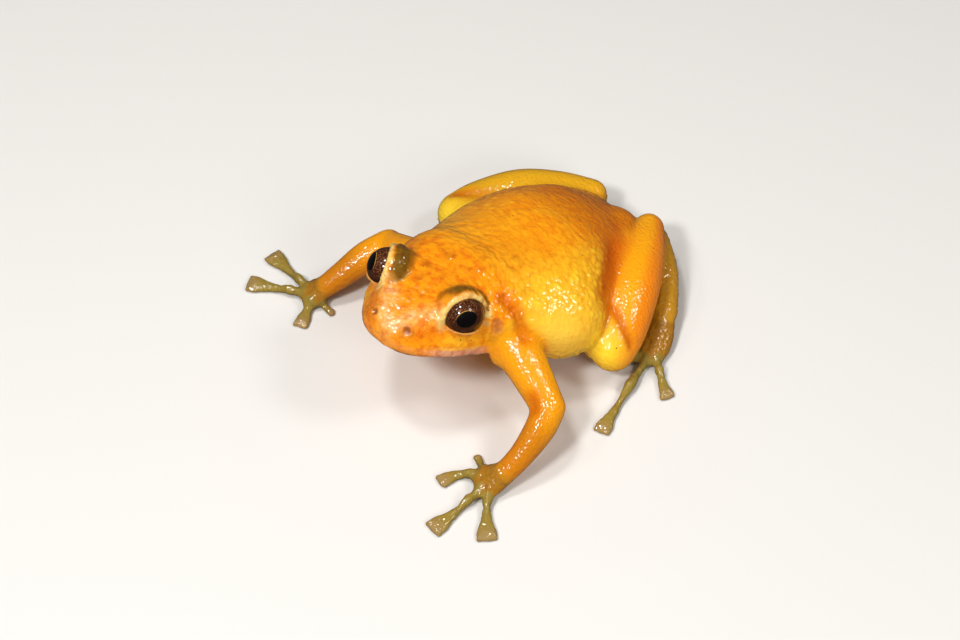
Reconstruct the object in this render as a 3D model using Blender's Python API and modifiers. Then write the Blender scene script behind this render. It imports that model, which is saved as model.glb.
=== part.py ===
# Black mountain boulder frog: a female at life size, sitting up on its hands and folded hind legs.
# Units are metres and +Z is up. The frog faces -Y and its left side is +X, and its head turns a little to +X.
# The flesh of the head, trunk and arms is modelled whole and parted with thin cuts. The folded legs, the
# palms and the digits are single lofts, each trimmed back from what it lies against.

import math

import bmesh
import bpy
import numpy as np
from mathutils import Matrix, Vector

MM = 0.001

# Driving dimensions in millimetres: snout to vent first, then its usual shares in this species
SNOUT_VENT = 45.0
TRUNK_LENGTH = 0.72 * SNOUT_VENT
TRUNK_WIDTH = 0.59 * SNOUT_VENT
TRUNK_DEPTH = 0.38 * SNOUT_VENT
HEAD_WIDTH = 0.37 * SNOUT_VENT
HEAD_LENGTH = 0.46 * SNOUT_VENT
HEAD_DEPTH = 0.26 * SNOUT_VENT
EYE_RADIUS = 0.06 * SNOUT_VENT
EYE_SPACING = 0.268 * SNOUT_VENT
DISC = 0.035 * SNOUT_VENT
DIGIT = 0.016 * SNOUT_VENT

# Thickness of the lids, the gap that parts the pieces, and the slack of the coarser cutter made of the flesh
LID = 0.65
GAP = 0.3
SLACK = 0.06

# Where the trunk ends, where the head sits and how it is turned, and how far sideways, ahead and up eyes face
TRUNK_REAR = Vector((1.9, 23.0, 6.2))
EYE_MIDPOINT = Vector((2.5, -11.1, 17.5))
HEAD_YAW = math.radians(12.0)
HEAD_PITCH = math.radians(12.0)
EYE_FACING = (0.73, 0.56, 0.40)

# The cuts in side view: the neck's as depth and height, the mouth's as reach ahead of and above the eyes
NECK_LINE = [(-1.5, 27.0), (-3.4, 19.0), (-6.8, 13.6), (-8.6, 11.0), (-10.8, 5.0)]
NECK_HALF_WIDTH = 11.5
MOUTH_LINE = [(12.0, -4.1), (6.0, -4.2), (0.0, -4.6), (-3.6, -5.1), (-9.0, -5.5)]
MOUTH_HALF_WIDTH = 14.0

# Where the shoulders are parted, as shares of the upper arms' length, and how far the cut reaches past the
# arm. The elbows' cuts are given by their heading and reach.
SHOULDER_CUTS = {"left": 0.58, "right": 0.55}
SHOULDER_REACH = 1.1
ELBOW_CUTS = {"left": (0.62, -0.62, -0.46), "right": (-0.60, -0.62, -0.50)}
ELBOW_REACH = 3.4

# Nostrils and eardrums, to the side, ahead and up from the midpoint of the eyes. The opening of an eye widens
# outwards: reach from the eye's centre, then share of its radius.
NOSTRIL = (2.35, 6.55, 0.15)
NOSTRIL_RADIUS = 0.42
EARDRUM = (10.0, -5.2, -2.2)
EARDRUM_RADIUS = 1.6
OPENING = [(0.0, 0.84), (1.1, 0.94), (4.6, 1.35)]
OPENING_HEIGHT = 0.97

# How finely the flesh is remeshed, and the triangles that each piece keeps
VOXEL = 0.42
SMOOTHING = 6
TRIANGLES = {
    "head": 2700, "lower_jaw": 520, "trunk": 2300, "upper_arm": 260, "forearm": 340, "shank": 480,
    "thigh": 460, "tarsus": 200, "foot": 230, "hand": 260, "digit": 160, "flesh_room": 7000,
}

# The most that a cut may take away, as a share of its cutter, the reaches in millimetres of the welds tried
# after it, and how far a thinned piece may miss its triangles
LOSS_LIMIT = 1.01
WELDS = (0.03, 0.015, 0.006, 0.002, 0.0005)
THINNING_STEPS = (1.0, 1.03, 0.97, 1.06, 0.94, 1.1, 0.9, 1.15, 1.2, 1.3)

# How square the rings are, where 2 is an ellipse, and how many points they have
TRUNK_POWER = 2.1
HEAD_POWER = 2.5
JAW_POWER = 2.2
BODY_SIDES = 36
EYE_SIDES = 24
ARM_SIDES = 20
LEG_SIDES = 14
TARSUS_SIDES = 10
PALM_SIDES = 12
DIGIT_SIDES = 10

# Trunk rings: share of the length from the rear, sideways shift, height of the centre, then shares of width
# and of depth above and below the centre
TRUNK_ROWS = [
    (0.02, 0.0, 6.0, 0.14, 0.08, 0.08),
    (0.06, 0.1, 6.2, 0.34, 0.18, 0.19),
    (0.14, 0.2, 7.0, 0.53, 0.29, 0.29),
    (0.26, 0.2, 8.0, 0.70, 0.38, 0.39),
    (0.40, 0.8, 8.8, 0.87, 0.43, 0.45),
    (0.55, 1.8, 9.4, 1.00, 0.43, 0.48),
    (0.68, 1.9, 10.4, 0.96, 0.40, 0.50),
    (0.80, 1.4, 12.0, 0.82, 0.35, 0.46),
    (0.90, 0.9, 13.4, 0.68, 0.30, 0.36),
    (0.98, 0.6, 14.3, 0.57, 0.26, 0.28),
    (1.05, 0.5, 14.8, 0.34, 0.15, 0.16),
]

# Head rings: share of the length ahead of the eyes, shares of half the width, and of the depth above and
# below the line of the mouth. The lower jaw is set back a little inside the upper lip.
MOUTH_BELOW_EYES = 4.4
LIP = 0.7
JAW_INSET = 0.8
HEAD_ROWS = [
    (0.388, 0.08, 0.10, 0.06),
    (0.380, 0.24, 0.22, 0.10),
    (0.345, 0.44, 0.31, 0.15),
    (0.285, 0.59, 0.37, 0.20),
    (0.195, 0.74, 0.43, 0.25),
    (0.095, 0.87, 0.48, 0.30),
    (0.000, 0.96, 0.51, 0.34),
    (-0.120, 1.04, 0.54, 0.41),
    (-0.240, 1.10, 0.57, 0.48),
    (-0.360, 1.11, 0.60, 0.53),
    (-0.480, 1.02, 0.56, 0.50),
    (-0.560, 0.64, 0.34, 0.28),
]

# The legs' pieces that stay off the floor, and the places that name the pieces parted from the flesh
FOLDED = ("shank", "thigh")
FLESH_SEEDS = {
    "trunk": (2.0, 8.0, 11.0), "head": (1.9, -10.4, 14.6),
    "upper_arm_left": (17.1, -4.9, 9.5), "forearm_left": (22.0, -10.0, 5.6),
    "upper_arm_right": (-12.0, -4.1, 7.6), "forearm_right": (-15.1, -9.0, 4.5),
}

# Limbs in millimetres: each row is a point on the centre line, then half the width and half the height
ARMS = {
    "upper_arm_left": [(8.0, -3.4, 11.6, 3.0, 3.0), (12.7, -4.6, 10.7, 3.0, 3.0),
                       (16.9, -5.4, 9.2, 2.6, 2.5), (20.7, -6.1, 7.5, 2.2, 2.2)],
    "forearm_left": [(20.7, -6.1, 7.5, 2.2, 2.2), (21.8, -8.7, 6.4, 2.2, 2.2),
                     (22.2, -12.0, 4.4, 1.9, 1.8), (22.3, -14.6, 2.8, 1.7, 1.5)],
    "upper_arm_right": [(-4.4, -3.6, 12.0, 2.6, 2.8), (-8.4, -4.0, 9.9, 2.4, 2.6),
                        (-13.9, -4.2, 6.4, 1.9, 2.0)],
    "forearm_right": [(-13.9, -4.2, 6.4, 1.9, 2.0), (-14.8, -7.4, 5.2, 2.1, 2.1),
                      (-15.4, -10.8, 3.8, 1.8, 1.8), (-16.0, -13.2, 2.6, 1.6, 1.5)],
}
LEGS = {
    "shank_left": [(17.5, 8.0, 4.9, 3.1, 3.2), (16.0, 10.9, 6.0, 3.4, 3.5), (12.9, 15.5, 7.2, 3.5, 3.6),
                   (9.6, 20.2, 7.0, 2.9, 3.0), (6.5, 23.9, 6.3, 2.2, 2.3)],
    "shank_right": [(-13.3, 7.5, 4.3, 2.9, 3.0), (-12.1, 10.4, 5.1, 3.2, 3.3), (-9.5, 15.0, 6.1, 3.3, 3.4),
                    (-6.6, 19.4, 5.9, 2.8, 2.8), (-3.7, 22.9, 5.3, 2.1, 2.1)],
    "thigh_left": [(4.6, 19.4, 7.4, 3.4, 3.6), (8.6, 15.4, 7.0, 4.1, 4.3), (12.4, 10.9, 6.0, 4.0, 4.1),
                   (15.3, 7.9, 5.2, 3.2, 3.4)],
    "thigh_right": [(-0.8, 18.9, 6.8, 3.2, 3.3), (-4.4, 14.9, 6.3, 3.8, 4.0), (-8.4, 10.5, 5.3, 3.7, 3.8),
                    (-11.3, 7.5, 4.6, 3.0, 3.1)],
    "tarsus_left": [(7.0, 24.8, 4.1, 1.9, 1.8), (11.9, 22.3, 3.5, 1.7, 1.7), (16.2, 18.2, 2.6, 1.8, 1.6)],
    "tarsus_right": [(-3.9, 23.8, 3.5, 1.8, 1.7), (-8.2, 21.2, 3.0, 1.6, 1.6), (-11.4, 17.4, 2.3, 1.7, 1.5)],
}
PALMS = {
    "foot_left": [(16.9, 17.2, 2.1, 1.8, 1.5), (18.6, 14.6, 1.3, 2.2, 1.35), (19.3, 12.7, 1.0, 2.2, 1.15)],
    "foot_right": [(-11.6, 16.4, 2.1, 1.7, 1.4), (-11.6, 13.4, 1.2, 2.0, 1.25), (-11.8, 11.4, 0.9, 2.0, 1.05)],
    "hand_left": [(22.2, -14.9, 2.4, 1.7, 1.4), (21.4, -16.4, 1.3, 2.6, 1.2), (21.0, -17.5, 1.0, 2.4, 1.0)],
    "hand_right": [(-16.3, -13.4, 2.2, 1.6, 1.3), (-17.0, -14.6, 1.2, 2.4, 1.1), (-17.6, -15.2, 1.0, 2.2, 1.0)],
}

# Digits in millimetres: root, knuckle and tip in plan, then the disc's share of the largest
DIGITS = {
    "finger_left_1": ((20.0, -16.0), (18.6, -15.4), (16.7, -14.6), 0.45),
    "finger_left_2": ((20.0, -17.4), (18.8, -18.8), (17.0, -21.1), 0.80),
    "finger_left_3": ((21.3, -17.6), (21.8, -21.4), (21.9, -26.4), 1.00),
    "finger_left_4": ((22.3, -17.2), (24.4, -19.3), (27.4, -21.9), 1.00),
    "finger_right_1": ((-15.8, -14.6), (-14.7, -14.7), (-12.9, -14.5), 0.45),
    "finger_right_2": ((-16.4, -15.4), (-15.6, -17.0), (-14.2, -19.3), 0.80),
    "finger_right_3": ((-18.0, -15.6), (-20.8, -17.4), (-24.8, -20.1), 1.00),
    "finger_right_4": ((-18.2, -14.7), (-21.5, -14.6), (-26.8, -14.6), 1.00),
    "toe_left_1": ((18.2, 13.6), (16.9, 13.6), (15.6, 13.4), 0.35),
    "toe_left_2": ((18.4, 12.6), (16.9, 11.8), (14.9, 10.6), 0.45),
    "toe_left_3": ((18.9, 12.0), (17.8, 9.9), (16.2, 7.4), 0.60),
    "toe_left_4": ((19.6, 12.0), (21.5, 7.2), (24.3, -0.2), 0.85),
    "toe_left_5": ((20.2, 13.2), (22.8, 11.7), (25.9, 10.2), 0.75),
    "toe_right_1": ((-11.0, 12.0), (-10.0, 11.4), (-8.8, 10.6), 0.35),
    "toe_right_2": ((-11.2, 11.2), (-10.6, 9.6), (-9.4, 7.4), 0.45),
    "toe_right_3": ((-11.7, 10.8), (-11.6, 8.0), (-11.0, 4.0), 0.60),
    "toe_right_4": ((-12.2, 10.8), (-13.2, 6.4), (-13.9, -0.2), 0.85),
    "toe_right_5": ((-12.8, 11.6), (-14.5, 9.4), (-16.2, 6.2), 0.75),
}

# Shape of a digit: place along it, share of the disc's spread, and height in digit radii. Places past one
# half run over the last stretch only, which is DISC_REACH discs long. The digit's centre lies a little lower
# than its height, so that it rests on a flat.
DISC_REACH = 4.4
DIGIT_LEVEL = 0.92
DIGIT_PROFILE = [(0.0, 0.2, 1.2), (0.25, 0.1, 1.05), (0.55, -0.05, 0.95), (0.72, 0.30, 0.85),
                 (0.84, 0.90, 0.75), (0.93, 1.0, 0.65), (1.0, 0.85, 0.5)]

# Steps over the round end of a limb
END_ANGLES = [math.radians(a) for a in (35, 62, 82)]

# Skin colours of the parts, linear RGB
ORANGE = (0.91, 0.37, 0.01)
YELLOW = (0.93, 0.52, 0.03)
OLIVE = (0.52, 0.40, 0.06)
PALE_LIP = (0.74, 0.32, 0.18)
EYE_BROWN = (0.03, 0.015, 0.008)


# Removes what the file starts with, and makes the two collections
def start():
    for item in list(bpy.data.objects):
        bpy.data.objects.remove(item)
    for name in ("boulder_frog", "cutters"):
        bpy.context.scene.collection.children.link(bpy.data.collections.new(name))


# A skin material for one part
def material(name, colour, roughness):
    finish = bpy.data.materials.new(name)
    finish.use_nodes = True
    shader = finish.node_tree.nodes["Principled BSDF"]
    shader.inputs["Base Color"].default_value = (*colour, 1.0)
    shader.inputs["Roughness"].default_value = roughness
    shader.inputs["Metallic"].default_value = 0.0
    return finish


# Turns every face of a closed mesh outwards
def face_outwards(bm):
    bmesh.ops.recalc_face_normals(bm, faces=bm.faces)
    if bm.calc_volume(signed=True) < 0:
        bmesh.ops.reverse_faces(bm, faces=bm.faces)


# Makes an object from a bmesh in the frog's collection, or a hidden one among the cutters
def make(name, bm, cutter=False):
    face_outwards(bm)
    mesh = bpy.data.meshes.new(name)
    bm.to_mesh(mesh)
    bm.free()
    mesh.shade_smooth()
    item = bpy.data.objects.new(name, mesh)
    bpy.data.collections["cutters" if cutter else "boulder_frog"].objects.link(item)
    if cutter:
        item.hide_render = True
        item.display_type = "WIRE"
    return item


# Rows of sizes, filled in between by a Catmull-Rom curve
def smooth_rows(rows, steps):
    points = np.array([rows[0], *rows, rows[-1]], dtype=float)
    filled = []
    for a, b, c, d in zip(points, points[1:], points[2:], points[3:]):
        for t in np.arange(steps) / steps:
            curve = 2 * b + (c - a) * t + (2 * a - 5 * b + 4 * c - d) * t**2 + (3 * b - a - 3 * c + d) * t**3
            filled.append(curve / 2)
    filled.append(points[-1])
    return filled


# One ring of a loft: a superellipse with its own reach above and below the centre
def add_ring(bm, centre, across, up, half_width, above, below, power, sides):
    ring = []
    for k in range(sides):
        angle = 2 * math.pi * (k + 0.5) / sides
        side, rise = math.cos(angle), math.sin(angle)
        x = half_width * math.copysign(abs(side) ** (2 / power), side)
        z = (above if rise > 0 else below) * math.copysign(abs(rise) ** (2 / power), rise)
        ring.append(bm.verts.new((centre + across * x + up * z) * MM))
    return ring


# Joins rings into a closed skin
def skin_rings(bm, rings):
    for a, b in zip(rings, rings[1:]):
        for k in range(len(a)):
            n = (k + 1) % len(a)
            bm.faces.new((a[k], a[n], b[n], b[k]))
    bm.faces.new(rings[0])
    bm.faces.new(rings[-1])


# A tapering limb along its centre line, with round ends
def limb(name, rows, grow, sides, steps, cutter=False):
    stations = smooth_rows(rows, steps)
    bm = bmesh.new()
    rings = []
    for i, row in enumerate(stations):
        before, after = stations[max(i - 1, 0)], stations[min(i + 1, len(stations) - 1)]
        along = Vector(after[:3] - before[:3]).normalized()
        across = along.cross(Vector((0, 0, 1))).normalized()
        up = across.cross(along)
        width, height = row[3] + grow, row[4] + grow
        ends = [(0.0, 1.0)]
        if i == 0:
            ends = [(-math.sin(a) * height, math.cos(a)) for a in END_ANGLES[::-1]] + ends
        if i == len(stations) - 1:
            ends += [(math.sin(a) * height, math.cos(a)) for a in END_ANGLES]
        for offset, share in ends:
            rings.append(add_ring(bm, Vector(row[:3]) + along * offset, across, up, width * share,
                                  height * share, height * share, 2.0, sides))
    skin_rings(bm, rings)
    return make(name, bm, cutter)


# Points of a digit on a smooth bend from its root: even to near the tip, then widening into a blunt disc
def digit_rows(root, knuckle, tip, disc_share):
    disc = max(DISC * disc_share, DIGIT)
    root, knuckle, tip = (Vector(p) for p in (root, knuckle, tip))
    bend = knuckle * 2 - (root + tip) / 2
    length = (knuckle - root).length + (tip - knuckle).length
    rows = []
    for back, spread, height in DIGIT_PROFILE:
        t = back if back < 0.5 else 1 - (1 - back) * min(disc * DISC_REACH / length, 1.0)
        place = root * (1 - t) ** 2 + bend * 2 * t * (1 - t) + tip * t**2
        half_width = DIGIT + (disc - DIGIT) * spread
        rows.append((place.x, place.y, DIGIT * height * DIGIT_LEVEL, half_width, DIGIT * height))
    return rows


# A tapered finger or toe with its blunt disc
def digit(name, spec, grow, cutter=False):
    return limb(name, digit_rows(*spec), grow, DIGIT_SIDES, steps=2, cutter=cutter)


# A ball, for the eyes, the domes of the lids and the sockets
def ball(name, centre, radius, segments=24, rings=16, turn=None, cutter=False):
    bm = bmesh.new()
    place = Matrix.Translation(Vector(centre) * MM) @ (turn or Matrix())
    bmesh.ops.create_uvsphere(bm, u_segments=segments, v_segments=rings, radius=radius * MM, matrix=place)
    return make(name, bm, cutter)


# The head's own axes: to its left, ahead and up, turned and pitched from the trunk's
def head_axes():
    heading = Vector((math.sin(HEAD_YAW), -math.cos(HEAD_YAW), 0.0))
    left = Vector((math.cos(HEAD_YAW), math.sin(HEAD_YAW), 0.0))
    ahead = heading * math.cos(HEAD_PITCH) + Vector((0, 0, 1)) * math.sin(HEAD_PITCH)
    up = Vector((0, 0, 1)) * math.cos(HEAD_PITCH) - heading * math.sin(HEAD_PITCH)
    return left, ahead, up


LEFT, AHEAD, UP = head_axes()


# A point given in the head's axes, from the midpoint of the eyes
def head_point(left, ahead, up):
    return EYE_MIDPOINT + LEFT * left + AHEAD * ahead + UP * up


# A point given from the trunk's middle plane
def trunk_point(left, depth, height):
    return Vector((TRUNK_REAR.x + left, depth, height))


# The trunk, from the vent to the neck
def trunk_form(grow):
    bm = bmesh.new()
    rings = []
    for share, shift, height, width, above, below in smooth_rows(TRUNK_ROWS, 3):
        centre = Vector((TRUNK_REAR.x + shift, TRUNK_REAR.y - share * TRUNK_LENGTH, height))
        half_width = width * TRUNK_WIDTH / 2 + grow
        top, bottom = above * TRUNK_DEPTH + grow, below * TRUNK_DEPTH + grow
        rings.append(add_ring(bm, centre, Vector((1, 0, 0)), Vector((0, 0, 1)), half_width, top, bottom,
                              TRUNK_POWER, BODY_SIDES))
    skin_rings(bm, rings)
    return make("trunk_form", bm)


# The head, from the snout to the neck, broad at the lips and flat on top
def head_form(grow):
    bm = bmesh.new()
    rings = []
    for share, width, above, _ in smooth_rows(HEAD_ROWS, 3):
        centre = head_point(0.0, share * HEAD_LENGTH, -MOUTH_BELOW_EYES)
        rings.append(add_ring(bm, centre, LEFT, UP, width * HEAD_WIDTH / 2 + grow, above * HEAD_DEPTH + grow,
                              LIP + grow, HEAD_POWER, BODY_SIDES))
    skin_rings(bm, rings)
    return make("head_form", bm)


# The lower jaw and throat, inside the line of the upper lip
def jaw_form(grow):
    bm = bmesh.new()
    rings = []
    for share, width, _, below in smooth_rows(HEAD_ROWS, 3):
        centre = head_point(0.0, share * HEAD_LENGTH - JAW_INSET, -MOUTH_BELOW_EYES)
        half_width = max(width * HEAD_WIDTH / 2 - JAW_INSET, JAW_INSET / 2)
        rings.append(add_ring(bm, centre, LEFT, UP, half_width + grow, LIP + grow,
                              below * HEAD_DEPTH + grow, JAW_POWER, BODY_SIDES))
    skin_rings(bm, rings)
    return make("jaw_form", bm)


# Where each eye sits, and the way that its opening faces
def eye_centre(side):
    return head_point(side * EYE_SPACING / 2, 0.0, 0.0)


def eye_facing(side):
    sideways, ahead, up = EYE_FACING
    return (LEFT * sideways * side + AHEAD * ahead + UP * up).normalized()


# Head, lids, trunk and arms as one skin, a little larger where it serves as a cutter
def flesh(name, grow):
    forms = [trunk_form(grow), head_form(grow), jaw_form(grow)]
    forms += [ball("lid_form", eye_centre(side), EYE_RADIUS + GAP + LID + grow) for side in (1, -1)]
    forms += [limb(arm, rows, grow, ARM_SIDES, steps=4) for arm, rows in ARMS.items()]
    body = forms[0]
    with bpy.context.temp_override(active_object=body, selected_editable_objects=forms):
        bpy.ops.object.join()
    body.name = name
    remesh = body.modifiers.new("whole", "REMESH")
    remesh.mode = "VOXEL"
    remesh.voxel_size = VOXEL * MM
    remesh.use_smooth_shade = True
    relax = body.modifiers.new("relax", "SMOOTH")
    relax.factor = 0.5
    relax.iterations = SMOOTHING
    return settle(body)


# Turns an object's evaluated shape into its own mesh
def settle(item):
    graph = bpy.context.evaluated_depsgraph_get()
    mesh = bpy.data.meshes.new_from_object(item.evaluated_get(graph))
    item.modifiers.clear()
    item.data = mesh
    return item


# The volume of a closed mesh
def volume(mesh):
    bm = bmesh.new()
    bm.from_mesh(mesh)
    size = bm.calc_volume(signed=True)
    bm.free()
    return size


# Cuts one object with others, one Boolean each. EXACT now and then drops a whole side of a thin cut: where
# clearly more is lost than the cutter holds, or nothing is left, MANIFOLD makes the cut.
def cut(item, cutters):
    for cutter in cutters:
        before = item.data
        least = volume(before) - volume(cutter.data) * LOSS_LIMIT
        for solver in ("EXACT", "MANIFOLD"):
            item.data = before
            difference = item.modifiers.new(cutter.name, "BOOLEAN")
            difference.operation = "DIFFERENCE"
            difference.solver = solver
            difference.object = cutter
            settle(item)
            if item.data.polygons and volume(item.data) > least:
                break
    return item


# A thin round slab across a limb, to part it there
def disc_slab(name, centre, facing, radius):
    bm = bmesh.new()
    turn = Vector(facing).to_track_quat("Z", "Y").to_matrix().to_4x4()
    bmesh.ops.create_cone(bm, cap_ends=True, segments=24, radius1=radius * MM, radius2=radius * MM,
                          depth=GAP * MM, matrix=Matrix.Translation(Vector(centre) * MM) @ turn)
    return make(name, bm, cutter=True)


# A thin sheet that follows a line drawn in side view, from points on its left edge to their mirror on the right
def sheet_slab(name, line, place, half_width):
    points = [Vector(p) for p in line]
    bm = bmesh.new()
    rings = []
    for i, point in enumerate(points):
        along = (points[min(i + 1, len(points) - 1)] - points[max(i - 1, 0)]).normalized()
        normal = Vector((-along.y, along.x)) * GAP / 2
        corners = [(point + normal * s, w) for s, w in ((1, 1), (1, -1), (-1, -1), (-1, 1))]
        rings.append([bm.verts.new(place(w * half_width, p.x, p.y) * MM) for p, w in corners])
    skin_rings(bm, rings)
    return make(name, bm, cutter=True)


# Separates an object's loose pieces, largest first
def loose_pieces(item):
    bm = bmesh.new()
    bm.from_mesh(item.data)
    bm.verts.ensure_lookup_table()
    seen, groups = set(), []
    for vert in bm.verts:
        if vert.index in seen:
            continue
        group, stack = [], [vert]
        seen.add(vert.index)
        while stack:
            current = stack.pop()
            group.append(current.index)
            for edge in current.link_edges:
                other = edge.other_vert(current)
                if other.index not in seen:
                    seen.add(other.index)
                    stack.append(other)
        groups.append(group)
    pieces = []
    for group in sorted(groups, key=len, reverse=True):
        part = bm.copy()
        part.verts.ensure_lookup_table()
        keep = set(group)
        bmesh.ops.delete(part, geom=[v for v in part.verts if v.index not in keep], context="VERTS")
        pieces.append(part)
    bm.free()
    return pieces


# Keeps only an object's largest closed surface
def keep_largest(item):
    pieces = loose_pieces(item)
    face_outwards(pieces[0])
    pieces[0].to_mesh(item.data)
    for piece in pieces:
        piece.free()
    return item


# Whether every edge of a mesh has two faces
def closed(mesh):
    bm = bmesh.new()
    bm.from_mesh(mesh)
    whole = all(edge.is_manifold for edge in bm.edges)
    bm.free()
    return whole


# Closes up the tiny edges that a cut leaves, which would tear as the mesh is thinned, as far as that is safe
def close_up(item):
    for reach in WELDS:
        bm = bmesh.new()
        bm.from_mesh(item.data)
        bmesh.ops.remove_doubles(bm, verts=bm.verts, dist=reach * MM)
        bmesh.ops.dissolve_degenerate(bm, edges=bm.edges, dist=reach * MM)
        bmesh.ops.triangulate(bm, faces=bm.faces)
        if all(edge.is_manifold for edge in bm.edges):
            bm.to_mesh(item.data)
            bm.free()
            break
        bm.free()
    return item


# Thins an object to about a number of triangles, trying other numbers near it where the mesh would tear
def thin(item, triangles):
    full = close_up(item).data
    count = sum(len(p.vertices) - 2 for p in full.polygons)
    for extra in THINNING_STEPS:
        item.data = full
        if count <= triangles * extra:
            break
        decimate = item.modifiers.new("thin", "DECIMATE")
        decimate.ratio = triangles * extra / count
        decimate.use_collapse_triangulate = True
        settle(item)
        if closed(item.data):
            break
    else:
        item.data = full
    return item


# Levels what reaches below the floor, so that pads, palms and soles rest on small flats
def level(item):
    bm = bmesh.new()
    bm.from_mesh(item.data)
    cut_edges = bmesh.ops.bisect_plane(bm, geom=bm.verts[:] + bm.edges[:] + bm.faces[:], dist=1e-7,
                                       plane_co=(0, 0, 0), plane_no=(0, 0, -1), clear_outer=True)
    rim = [g for g in cut_edges["geom_cut"] if isinstance(g, bmesh.types.BMEdge)]
    if rim:
        bmesh.ops.holes_fill(bm, edges=rim)
        face_outwards(bm)
    bm.to_mesh(item.data)
    bm.free()
    return item


# Gives each of the largest loose pieces the name of the seed nearest to its middle
def name_pieces(whole, seeds):
    pieces = loose_pieces(whole)[:len(seeds)]
    bpy.data.objects.remove(whole)
    found = {}
    for piece in pieces:
        middle = sum((v.co for v in piece.verts), Vector()) / len(piece.verts) / MM
        name = min(seeds, key=lambda s: (Vector(seeds[s]) - middle).length)
        found[name] = make(name, piece)
    return found


# The slab that parts an upper arm from the shoulder, square to the arm
def shoulder_slab(side):
    stations = smooth_rows(ARMS["upper_arm_" + side], 8)
    i = round(SHOULDER_CUTS[side] * (len(stations) - 1))
    heading = stations[i + 1][:3] - stations[i - 1][:3]
    return disc_slab("shoulder_cut_" + side, stations[i][:3], heading, max(stations[i][3:]) + SHOULDER_REACH)


# The slab that parts a forearm from the upper arm
def elbow_slab(side):
    return disc_slab("elbow_cut_" + side, ARMS["forearm_" + side][0][:3], ELBOW_CUTS[side], ELBOW_REACH)


# The seven pieces of flesh, parted at the neck, shoulders and elbows, and the head at the line of the mouth
def flesh_pieces():
    whole = flesh("flesh", 0.0)
    neck = sheet_slab("neck_cut", NECK_LINE, trunk_point, NECK_HALF_WIDTH)
    cut(whole, [neck] + [slab(side) for slab in (shoulder_slab, elbow_slab) for side in ("left", "right")])
    found = name_pieces(whole, FLESH_SEEDS)
    cut(found["head"], [sheet_slab("mouth_cut", MOUTH_LINE, head_point, MOUTH_HALF_WIDTH)])
    jaw_middle = head_point(0, 0, -MOUTH_BELOW_EYES - HEAD_DEPTH / 5)
    found.update(name_pieces(found["head"], {"head": head_point(0, 0, 0), "lower_jaw": jaw_middle}))
    return found


# The funnel that opens the lids in front of an eye
def opening(word, centre, facing):
    level_side = facing.cross(UP).normalized()
    lift = level_side.cross(facing)
    bm = bmesh.new()
    rings = []
    for reach, flare in OPENING:
        width = EYE_RADIUS * flare
        height = width * OPENING_HEIGHT
        rings.append(add_ring(bm, centre + facing * reach, level_side, lift, width, height, height, 2.0,
                              EYE_SIDES))
    skin_rings(bm, rings)
    return make("opening_" + word, bm, cutter=True)


# Sockets, eye openings, nostrils and the shallow ring of the eardrum
def carve_head(head):
    cutters = []
    for side, word in ((1, "left"), (-1, "right")):
        centre = eye_centre(side)
        cutters.append(ball("socket_" + word, centre, EYE_RADIUS + GAP, 28, 20, cutter=True))
        cutters.append(opening(word, centre, eye_facing(side)))
        nostril = head_point(side * NOSTRIL[0], *NOSTRIL[1:])
        cutters.append(ball("nostril_" + word, nostril, NOSTRIL_RADIUS, 10, 8, cutter=True))
        eardrum = head_point(side * EARDRUM[0], *EARDRUM[1:])
        cutters.append(ball("eardrum_" + word, eardrum, EARDRUM_RADIUS, 16, 12, cutter=True))
    return cut(head, cutters)


# Rows and ring points of the legs, feet and hands, each of which gives way to the ones before it
def limb_specs():
    specs = {name: (rows, TARSUS_SIDES if "tarsus" in name else LEG_SIDES, 3) for name, rows in LEGS.items()}
    specs.update({name: (rows, PALM_SIDES, 2) for name, rows in PALMS.items()})
    return specs


# Whether the boxes of two objects overlap
def near(a, b):
    boxes = []
    for item in (a, b):
        points = np.array([v.co for v in item.data.vertices])
        boxes.append((points.min(axis=0), points.max(axis=0)))
    (low_a, high_a), (low_b, high_b) = boxes
    return bool(np.all(low_a < high_b) and np.all(low_b < high_a))


# Hands, legs, feet and digits, each trimmed by the grown forms of its neighbours
def limbs(flesh_room):
    rooms = []
    made = {}
    for name, (rows, sides, steps) in limb_specs().items():
        made[name] = limb(name, rows, 0.0, sides, steps)
        near_rooms = [room for room in rooms if near(room, made[name])]
        if not name.startswith(FOLDED):
            near_rooms.append(flesh_room)
        cut(made[name], near_rooms)
        thin(keep_largest(made[name]), TRIANGLES[name.split("_")[0]])
        rooms.append(limb(name + "_room", rows, GAP, sides, steps, cutter=True))
    for name, spec in DIGITS.items():
        made[name] = digit(name, spec, 0.0)
        cut(made[name], [room for room in rooms + [flesh_room] if near(room, made[name])])
        thin(keep_largest(made[name]), TRIANGLES["digit"])
        rooms.append(digit(name + "_room", spec, GAP, cutter=True))
    for name in made:
        if not name.startswith(FOLDED):
            level(made[name])
    return made


# Colours by the part's name
def paint(made):
    for name, item in made.items():
        colour, roughness = ORANGE, 0.35
        if name.startswith(("hand", "finger", "foot", "toe", "tarsus")):
            colour, roughness = OLIVE, 0.30
        elif name.startswith(("shank", "thigh", "forearm", "upper_arm")):
            colour = YELLOW
        elif name.startswith("eye"):
            colour, roughness = EYE_BROWN, 0.05
        elif name == "lower_jaw":
            colour = PALE_LIP
        item.data.materials.clear()
        item.data.materials.append(material(name + "_skin", colour, roughness))
        item.data.shade_smooth()


# Moves everything so that the origin is under the middle of the frog, on the floor
def centre_on_floor(made):
    points = np.array([v.co for item in made.values() for v in item.data.vertices])
    low, high = points.min(axis=0), points.max(axis=0)
    move = Matrix.Translation((-(low[0] + high[0]) / 2, -(low[1] + high[1]) / 2, -low[2]))
    for item in bpy.data.objects:
        item.data.transform(move)


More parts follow.
